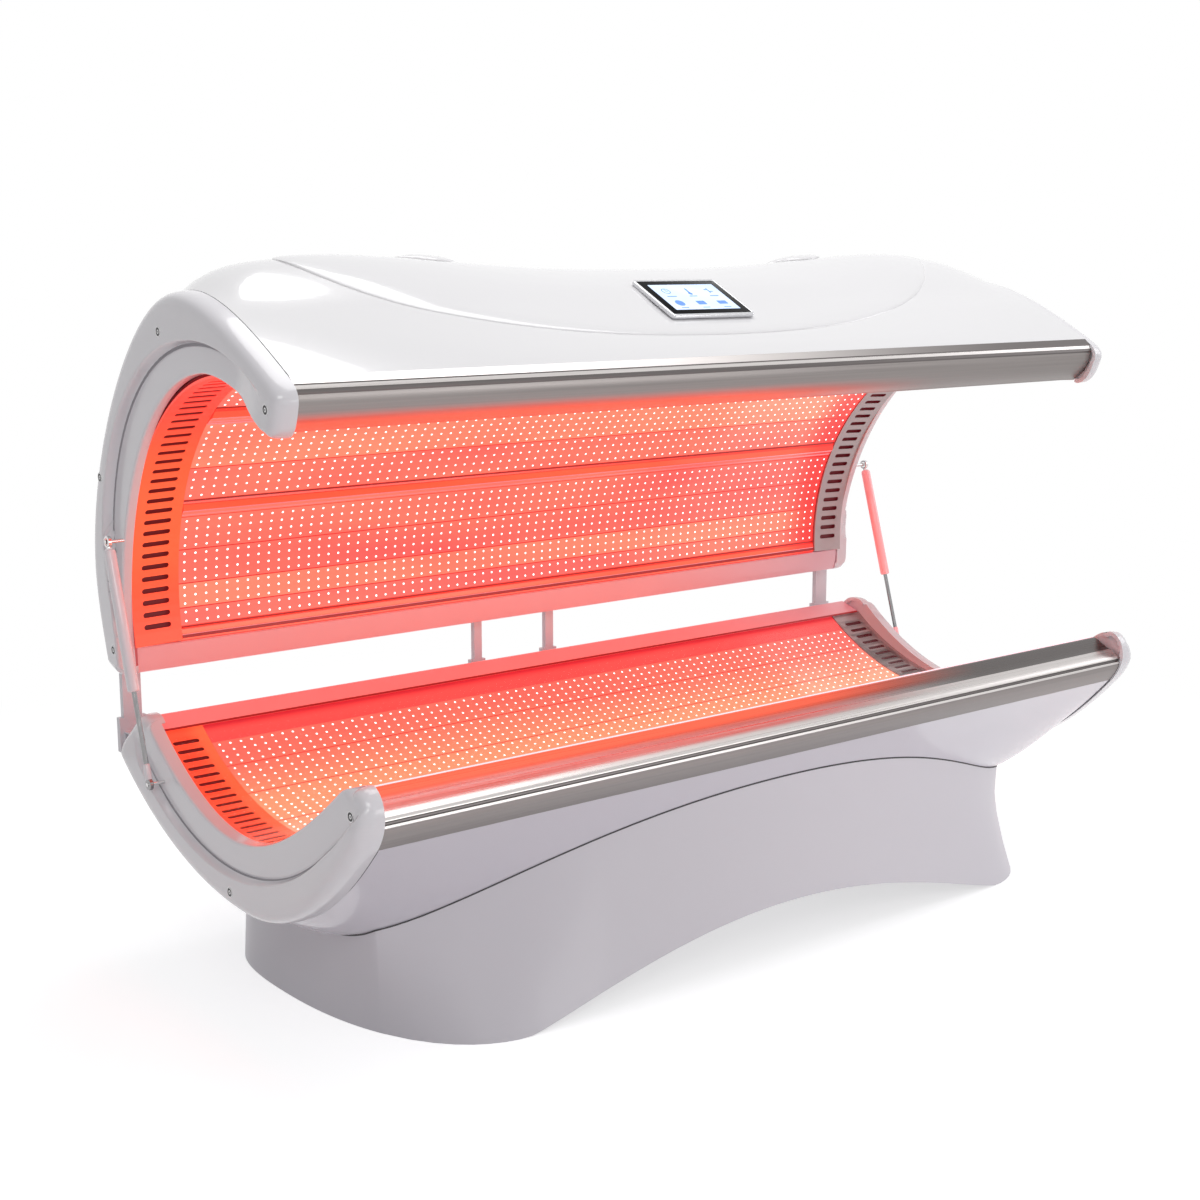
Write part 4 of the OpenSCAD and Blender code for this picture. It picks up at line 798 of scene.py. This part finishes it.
def screws(places, place, name, body, node):
    """Rings of bright steel round a dark recess, each with a small head in it."""
    head = lathe([(1.7, -0.6), (1.8, 0.5), (2.6, 0.75), (3.7, 0.75), (4.3, 0.5), (4.4, -0.6)], 28, close=False)
    ring = lathe([(8.0, -0.6), (8.2, 0.6), (9.1, 0.75), (10.2, 0.4), (10.4, -0.6)], 28, close=False)
    recess = lathe([(0.2, 0.25), (8.1, 0.25), (8.1, -0.6), (0.2, -0.6)], 28)
    metal, dark = [], []
    for at in places:
        for side in (-1, 1):
            for part, group in ((head, metal), (ring, metal), (recess, dark)):
                v, f = placed(part, towards(at, (1, 0, 0)))
                group.append((place(v, side), f))
    piece(name, *merge(metal), screw_steel, body, [node])
    piece(name + "_sockets", *merge(dark), socket, body)


screws([(CANOPY_BAND, *at) for at in ((90, 1331), (442, 1023), (448, 658), (-336, 1214))], canopy_end, "canopy_screws",
       "canopy", "canopy_cap_screws")
screws([(TUB_WEB, 342, 485), (TUB_BAND, -54, 268), (TUB_WEB, -484, 521)], tub_end, "tub_screws", "bed_base",
       "tub_cap_screws")

# ------ light boards


DIODES, DIODE_R, DIODE_LIFT = 76, 2.7, 0.3


def strip(curve, s0, s1, x_end):
    """A sheet 1.8 thick that follows a curve between two of its lengths."""
    p = at_length(curve, np.linspace(s0, s1, max(2, int((s1 - s0) / 14)) + 1))
    grids = []
    for q in (shifted(p, 0.3), shifted(p, -1.5)):
        grids.append(np.array([[(k * x_end(r), *q[j]) for j, r in enumerate(p)] for k in (-1, -0.33, 0.33, 1)]))
    return slab(*grids)


def diodes(curve, rows, x_end):
    parts = []
    ring = np.array([(math.cos(a), math.sin(a)) for a in np.linspace(0, 2 * math.pi, 8, endpoint=False)])
    faces = [[k, (k + 1) % 8, 8 + (k + 1) % 8, 8 + k] for k in range(8)] + [list(range(8, 16))]
    for s in rows:
        p, normal = at_length(curve, s), normal_at(curve, s)
        along = np.array([normal[1], -normal[0]])
        e = x_end(p) - 13
        for x in np.linspace(-e, e, DIODES):
            v = [(x + r * c, *(p + normal * h + along * r * q))
                 for r, h in ((DIODE_R, DIODE_LIFT), (DIODE_R * 0.6, DIODE_LIFT + 1.0)) for c, q in ring]
            parts.append((v, faces))
    return merge(parts)


def angle_s(deg):
    return lengths(LIGHT_CURVE)[16] + math.radians(FRONT_ANGLE - deg) * TUNNEL_R


def line_strip(name, curve, s, width, h, x_end, mat, body):
    """A narrow strip that lies on a curve and runs the length of the board."""
    normal = normal_at(curve, s)
    a, b = at_length(curve, s), at_length(curve, s + width)
    piece(name, *prism([a + normal * h[0], a + normal * h[1], b + normal * h[1], b + normal * h[0]], x_end), mat, body,
          bevel=0.3)


def board_set(name, curve, breaks, counts, mats, x_end, body):
    """Boards side by side, each with its number of diode rows, and the joints between them."""
    groups, rows = {}, []
    for s0, s1, n, mat in zip(breaks, breaks[1:], counts, mats):
        groups.setdefault(mat, []).append(strip(curve, s0 + 0.7, s1 - 0.7, x_end))
        rows += [s0 + (s1 - s0) * (i + 0.5) / n for i in range(n)]
    for i, (mat, parts) in enumerate(groups.items()):
        node = [name.replace("_board_", "_led_board_")] if i == 0 else ()
        piece(f"{name}_{i}", *merge(parts), mat, body, node, crease=40)
    # the joints glow dark red: painted red light on the reflector between the boards
    for k, s in enumerate(breaks[1:-1]):
        line_strip(f"{name}_joint_{k}", curve, s - 1.3, 2.6, (-0.9, 0.5), x_end, joint, body)
    piece(name + "_diodes", *diodes(curve, rows, x_end), lamp, body)


def canopy_board_x(p):
    return end_x(p[0], p[1]) - 100


def tub_board_x(p):
    return 944.0


for label, angles, counts, mats in (
        ("lower", (23.5, 15.4, 7.3, 1.6, -2.5), (4, 4, 3, 2), (board_glow, board_glow, board_orange, board_glow)),
        ("middle", (51.6, 37.0, 28.1), (7, 4), (board_orange, board_glow)),
        ("upper", (84.5, 71.5, 58.5), (7, 6), (board_glow, board_glow))):
    breaks = [angle_s(a) for a in angles]
    board_set("canopy_board_" + label, LIGHT_CURVE, breaks, counts, mats, canopy_board_x, "canopy")

bed_run = lengths(BED_CURVE)
BED_REAR, BED_CENTRE, BED_FOLD, BED_LAST = (float(bed_run[k]) for k in (4, 22, 40, 62))


def bed_s(y):
    return float(np.interp(-y, -BED_CURVE[:, 0], bed_run))


for label, breaks, counts in (
        ("rear", [BED_REAR, bed_s(240), bed_s(151), BED_CENTRE], (4, 5, 3)),
        ("centre", [BED_CENTRE, bed_s(30), BED_FOLD], (4, 8)),
        ("front", [BED_FOLD, bed_s(-250), BED_LAST], (7, 8))):
    board_set("tub_board_" + label, BED_CURVE, breaks, counts, [board_tub] * 3, tub_board_x, "bed_base")


def fold(s0, s1, name, depth=5.0):
    """A folded strip of reflector between two boards: a dark groove, a raised fold and a thin lip, in painted red light
    with painted shade in the groove and painted highlights on the ridge.
    """
    prof = [(0, -1.4, 1), (0.07, -1.4, 1), (0.1, -0.6, 0), (0.18, 1.4, 0), (0.24, 1.4, 2), (0.5, depth, 2),
            (0.56, depth, 3), (0.62, depth - 0.8, 3), (0.66, depth - 2.4, 4), (0.84, 1.3, 3), (0.89, 1.0, 4),
            (0.97, 0.6, 1), (1, -1.4, 1)]

    def at(u, h):
        s = s0 + (s1 - s0) * u
        return at_length(LIGHT_CURVE, s) + normal_at(LIGHT_CURVE, s) * h

    outline = [at(u, h) for u, h, _ in prof] + [at(u, -1.55) for u in (1, 0.5, 0)]
    piece(name, *prism(outline, canopy_board_x), [reflector, reflector_shade, fold_bright, fold_line, board_glow],
          "canopy", mats=[k for *_, k in prof] + [0] * 5, crease=25)


fold(angle_s(28.1) + 1, angle_s(23.5) - 1, "canopy_fold_low")
fold(angle_s(58.5) + 1, angle_s(51.6) - 1, "canopy_fold_high")
fold(angle_s(-2.5) + 1, angle_s(-5.8), "canopy_fold_rear", 3)

# a painted highlight along a board's edge, painted shade in the rear groove and painted light on the rear lip
for label, s, width, h, mat in (
        ("board_edge", angle_s(51.6) - 3.2, 3.0, (0.2, 1.6), fold_line),
        ("groove_rear", angle_s(-4.6), 6.4, (-0.5, 3.4), reflector_shade),
        ("rear_lip", angle_s(-4.6) + 6.5, 2.2, (-0.5, 3.6), fold_bright)):
    line_strip("canopy_" + label, LIGHT_CURVE, s, width, h, canopy_board_x, mat, "canopy")
# the band under the rear ledge, in painted red light with painted shade towards the top
piece("tub_ledge_band", *strip(BED_CURVE, 1.5, BED_REAR - 0.6, tub_board_x), ledge_red, "bed_base")
# painted shade: a dark strip in the groove by the rear ledge
line_strip("tub_ledge_groove", BED_CURVE, 0.5, 5.0, (7.2, 8.2), lambda p: TUB_HALF - 2, reflector_shade, "bed_base")
# the clear sheet's front edge, with painted light
lip = [(-448, 552.2), (-448, 553.4), (-446, 554), (-443, 554), (-443, 552.6)]
piece("acrylic_front_edge", *prism(lip, lambda p: TUB_HALF - 3), glowing_rim, "bed_base", bevel=0.4)

# a dark sheet with a faint red glow behind the slots of the grilles: painted shade, with painted red light, for the
# inside of the air ducts
for name, curve, s0, from_end, x1, place, body in (
        ("canopy_duct_lining", LIGHT_CURVE, 60, 20, 2, canopy_end, "canopy"),
        ("tub_duct_lining", BED_CURVE, 15, 25, 8, tub_end, "bed_base")):
    line = at_length(curve, np.linspace(s0, lengths(curve)[-1] - from_end, 40))
    ribbon(name, line, place, -90, x1, -9, 1.5, duct, body, crease=60)

# ------ plinth


PLINTH_HALF, FOOT_X, FOOT_Y, FOOT_REACH, FOOT_ROUND = 945.0, 652.0, 40.0, 505, 0.87
TURN_X = PLINTH_HALF * 0.95
ARCH_HALF, ARCH_RISE = 690, 118


def plinth_top(u):
    """The plinth's upper outline: u goes from the middle of the front round one end to the rear."""
    h, r = PLINTH_HALF - 40, PLINTH_HALF - 15
    curves = ([(0, -448), (h * 0.4, -448), (h * 0.7, -385), (h, -275)],
              [(h, -275), (h + 20, -268), (r, -150), (r, 60)], [(r, 60), (r, 190), (r - 30, 330), (r - 140, 330)])
    k = min(int(u), 2)
    return bezier_at(curves[k], u - k)


def plinth_side(a):
    return np.array([FOOT_X + (PLINTH_HALF - FOOT_X) * math.sin(a) ** FOOT_ROUND,
                     FOOT_Y - FOOT_REACH * max(math.cos(a), 0) ** FOOT_ROUND])


def foot_angle(x):
    return math.asin(((x - FOOT_X) / (PLINTH_HALF - FOOT_X)) ** (1 / FOOT_ROUND))


def plinth_floor(u):
    """The plinth's lower outline, in step with the upper one."""
    if u <= 1:
        x = plinth_top(u)[0] / (PLINTH_HALF - 40) * TURN_X
        return np.array([x, FOOT_Y - FOOT_REACH if x <= FOOT_X else plinth_side(foot_angle(x))[1]])
    if u <= 2:
        turn = foot_angle(TURN_X)
        return plinth_side(turn + (math.pi / 2 - turn) * (u - 1))
    return bezier_at([(945, 40), (945, 190), (925, 330), (790, 330)], u - 2)


def plinth_at(u, v, side):
    t, b = plinth_top(u), plinth_floor(u)
    p = t + (b - t) * v ** 1.15
    zt = hull_z(t[0], t[1]) - 2.2
    arch = ARCH_RISE * max(0, 1 - (b[0] / ARCH_HALF) ** 2) ** 1.25
    return np.array([side * p[0], p[1], zt + (arch - zt) * v])


us = np.linspace(-3, 3, 181)
vs = np.linspace(0, 1, 25)
outer = np.array([[plinth_at(abs(u), v, -1 if u < 0 else 1) for v in vs] for u in us])
tangent = np.gradient(outer, axis=0)
n2 = np.stack([tangent[..., 1], -tangent[..., 0], 0 * tangent[..., 0]], -1)
n2 /= np.linalg.norm(n2, axis=2)[..., None]
n2 *= np.sign((n2 * outer).sum(2))[..., None]
piece("plinth_casing", *slab(outer, outer - SHEET * n2), base_white, "bed_base", ["base_front_shell"], crease=50)

# painted shadow: a near-black strip fills the gap between the plinth's top and the tub's casing
rim, out = outer[:, 0], n2[:, 0] * [1, 1, 0]
out /= np.linalg.norm(out, axis=1)[:, None]
faces = [np.stack([rim + d * out + [0, 0, low] for low in (-0.9, 2.5)], 1) for d in (0.5, -3.5)]
piece("plinth_seam", *slab(*faces), black_strip, "bed_base")

# ------ outlet covers and screen


OUTLET_X, OUTLET_Y, OUTLET_R = 530, 145, 95


def outlet(side):
    """A low round cover; rings are shares of its radius and heights."""
    rings = [(0.001, 13.2), (0.3, 13.1), (0.5, 12.8), (0.68, 11.8), (0.8, 10.2), (0.9, 7.5), (0.96, 5.0), (0.99, 2.8),
             (1.0, 0.2)]
    verts, n = [], 56
    for r, h in rings:
        for a in np.linspace(0, 2 * math.pi, n, endpoint=False):
            x, y = side * OUTLET_X + OUTLET_R * r * math.cos(a), OUTLET_Y + OUTLET_R * r * math.sin(a)
            verts.append((x, y, roof_z(x, y) + 7.9 + h))
    ends = [list(range(n)), [(len(rings) - 1) * n + i for i in range(n)][::-1]]
    return verts, grid_faces(len(rings), n, wrap=True) + ends


piece("outlet_covers", *merge([outlet(-1), outlet(1)]), casing, "canopy", ["fan_outlet_covers"], crease=60)

ICON_Z = 9.75
SLOPE = Matrix.Translation((0, -137, 1372.9)) @ Matrix.Rotation(math.radians(27.2), 4, "X")


def rounded(w, h, r, n=8):
    """A rectangle with round corners."""
    out = []
    for sx, sy, a in ((1, 1, 0), (-1, 1, 90), (-1, -1, 180), (1, -1, 270)):
        for k in range(n + 1):
            t = math.radians(a + 90 * k / n)
            out.append((sx * (w / 2 - r) + r * math.cos(t), sy * (h / 2 - r) + r * math.sin(t)))
    return np.array(out)


def stacked(levels):
    """Closed outlines of equal length at rising heights, capped at both ends."""
    n = len(levels[0][0])
    verts = np.concatenate([np.column_stack([o, np.full(n, h)]) for o, h in levels])
    faces = grid_faces(len(levels), n, wrap=True)
    return verts, faces + [list(range(n))[::-1], [(len(levels) - 1) * n + i for i in range(n)]]


rim_steps = ((2, 0), (0.6, 1.2), (0, 3), (0, 7), (0.5, 8.8), (1.8, 9.8), (3.2, 10.2), (5.6, 10.1), (6.4, 9.4),
             (6.6, 8.6))
screen_rim = [(rounded(233 - 2 * d, 156 - 2 * d, max(9 - d, 1)), h) for d, h in rim_steps]
panel = [(rounded(219, 142, 3), 8.8), (rounded(219, 142, 3), 9.3), (rounded(218, 141, 2.6), 9.5)]
picture = [(rounded(182, 108, 2), 9.3), (rounded(182, 108, 2), ICON_Z)]
piece("screen_rim", *placed(stacked(screen_rim), SLOPE), frame_silver, "canopy", ["screen_bezel"], crease=50)
piece("screen_panel", *placed(stacked(panel), SLOPE), glass_black, "canopy", ["screen_glass"])
piece("screen_picture", *placed(stacked(picture), SLOPE), display, "canopy")


def ring_icon(x, y, r, w):
    ring = lathe([(r - w, 0), (r - w, 0.2), (r, 0.2), (r, 0)], 24, close=False)
    return placed(ring, Matrix.Translation((x, y, ICON_Z)))


def bar(x, y, w, h, r=0.6):
    outline = rounded(w, h, r, 3)
    return placed(stacked([(outline, 0), (outline, 0.2)]), Matrix.Translation((x, y, ICON_Z)))


icons = [
    ring_icon(-60, 26, 11, 2), bar(-60, 30, 1.6, 9), bar(-57, 26, 7, 1.6), bar(0, 26, 5, 22, 2.4),
    ring_icon(0, 14, 5.5, 5), bar(60, 26, 3, 20), bar(66, 22, 9, 3), bar(54, 30, 8, 3), bar(-60, 3, 26, 3),
    bar(0, 3, 22, 3), bar(60, 3, 24, 3), ring_icon(-60, -26, 12, 12), bar(0, -26, 24, 16, 2),
    bar(60, -26, 26, 14, 2), bar(-60, -46, 20, 2.4), bar(0, -46, 20, 2.4), bar(60, -46, 20, 2.4)]
piece("screen_icons", *placed(merge(icons), SLOPE), icon, "canopy")

# ------ struts

STUD, UP, STRUT_X = np.array([251.0, 415.0]), np.array([145.0, 480.0]), 1112
STRUT_L = float(np.linalg.norm(UP))
TUBE_END, TUBE_L = STRUT_L - 16, 295


def strut(side, label, lacquer):
    """One gas strut, drawn upright from its lower stud: rod, eye and sleeve below, cylinder and clip above."""
    lean = Matrix.Rotation(math.atan2(UP[1], UP[0]) - math.pi / 2, 4, "X")
    m = Matrix.Translation((side * STRUT_X, *STUD)) @ lean
    across = Matrix.Rotation(math.pi / 2, 4, "Y")
    upper = Matrix.Translation((0, 0, STRUT_L)) @ across
    rod_body, tube_body = "strut_rod_" + label, "strut_cylinder_" + label
    eye = placed(lathe([(5.4, -4.4), (10.6, -4.4), (11.8, -3), (11.8, 3), (10.6, 4.4), (5.4, 4.4)], 28), across)
    sleeve = lathe([(4, 9), (6.6, 10), (7, 12), (7, 38), (6.2, 41), (5, 42)], 24)
    rod = lathe([(5, 40), (5, 249), (4, 250)], 24)
    piece(rod_body + "_bar", *placed(merge([rod, eye]), m), strut_metal, rod_body, [rod_body])
    piece("strut_sleeve_" + label, *placed(sleeve, m), lacquer, rod_body)
    a, b = TUBE_END - TUBE_L, TUBE_END
    tube = lathe([(5.2, a + 1), (9, a), (11.4, a + 2), (12, a + 5), (12, b - 7), (11.2, b - 3), (8, b)], 32)
    clip_ring = lathe([(8, -4.6), (11, -4.6), (12, -3.4), (12, 3.4), (11, 4.6), (8, 4.6)], 28, close=False)
    clip_bore = lathe([(8, 4.6), (8, -4.6)], 28, close=False)
    clip = [lathe([(5, b - 1), (5.4, b), (5, b + 5)], 20), placed(clip_ring, upper), placed(clip_bore, upper)]
    piece("strut_tube_" + label, *placed(tube, m), lacquer, tube_body, [tube_body])
    piece("strut_clip_" + label, *placed(merge(clip), m), bright, tube_body)


strut(-1, "left", strut_white)
# the right strut carries the lacquer with painted red light
strut(1, "right", strut_lit)

# ------ stage, light, camera


def maths(tree, operation, a, b, clamp=False):
    result = feed(tree, "ShaderNodeMath", {0: a, 1: b})
    result.operation, result.use_clamp = operation, clamp
    return result.outputs[0]


def direct_rays(tree):
    """1 for rays from the camera, a mirror or clear sheet, and 0 for light that falls on things."""
    rays = tree.nodes.new("ShaderNodeLightPath").outputs
    two = maths(tree, "ADD", rays["Is Camera Ray"], rays["Is Glossy Ray"])
    return maths(tree, "ADD", two, rays["Is Transmission Ray"], clamp=True)


def floor_material():
    """Pale near the bed, where the shadow falls, and plain white from 2.8 m out."""
    m, tree, co = blank("studio_floor")
    white, seen = (1, 1, 1, 1), direct_rays(tree)
    pale = feed(tree, "Principled BSDF", {
        "Base Color": (0.82, 0.82, 0.83, 1), "Roughness": 0.8, "Specular IOR Level": 0.1})
    lifted = feed(tree, "ShaderNodeEmission", {"Color": white, "Strength": maths(tree, "MULTIPLY", seen, 0.6)})
    near = feed(tree, "ShaderNodeAddShader", {0: pale.outputs[0], 1: lifted.outputs[0]})
    plain = feed(tree, "ShaderNodeEmission", {"Color": white, "Strength": seen})
    away = feed(tree, "ShaderNodeVectorMath", {0: co})
    away.operation = "LENGTH"
    share = maths(tree, "MULTIPLY", ramp(tree, away.outputs["Value"], 1.2, 2.8), seen)
    mix = feed(tree, "ShaderNodeMixShader", {0: share, 1: near.outputs[0], 2: plain.outputs[0]})
    feed(tree, "Material Output", {"Surface": mix.outputs[0]})
    return m


def floor():
    mesh = bpy.data.meshes.new("studio_floor")
    bm = bmesh.new()
    bmesh.ops.create_grid(bm, x_segments=8, y_segments=8, size=30)
    bm.to_mesh(mesh)
    bm.free()
    o = bpy.data.objects.new("studio_floor", mesh)
    mesh.materials.append(floor_material())
    bpy.context.scene.collection.objects.link(o)


floor()
world = bpy.data.worlds.new("studio")
bpy.context.scene.world = world
world.use_nodes = True
sky = feed(
    world.node_tree, "ShaderNodeMapRange", {"Value": direct_rays(world.node_tree), "To Min": 0.34, "To Max": 1.0})
feed(world.node_tree, "Background", {"Color": (1, 1, 1, 1), "Strength": sky.outputs[0]})


def softbox(name, place, target, size, watts, color=(1, 1, 1)):
    d = bpy.data.lights.new(name, "AREA")
    d.shape = "RECTANGLE"
    d.size, d.size_y = size
    d.energy = watts
    d.color = color
    o = bpy.data.objects.new(name, d)
    o.location = place
    o.rotation_euler = (Vector(target) - Vector(place)).to_track_quat("-Z", "Y").to_euler()
    bpy.context.scene.collection.objects.link(o)


softbox("top_box", (0.4, 0.2, 4.6), (0, 0, 0.8), (3.6, 2.4), 74)
softbox("front_box", (-2.8, -4.2, 3.4), (0, 0, 0.7), (2.4, 1.6), 40, (1, 0.99, 0.98))
softbox("low_box", (1.9, -4.6, 0.9), (0.3, 0, 0.35), (3.0, 1.2), 30)
softbox("right_box", (4.6, -1.6, 2.6), (0, 0, 0.7), (1.6, 2.2), 22, (0.98, 0.98, 1))

cam = bpy.data.cameras.new("photo_camera")
cam.lens = 55
cam.sensor_width = 36
camera = bpy.data.objects.new("photo_camera", cam)
back = -Vector((0.6131, 0.7678, -0.1860)).normalized()
right = Vector((0.7814, -0.6240, 0)).normalized()
up = back.cross(right)
camera.matrix_world = Matrix.Translation((-2.6335, -3.1166, 1.4733)) @ Matrix((right, up, back)).transposed().to_4x4()
bpy.context.scene.collection.objects.link(camera)
bpy.context.scene.camera = camera
bpy.context.scene.view_settings.view_transform = "Standard"
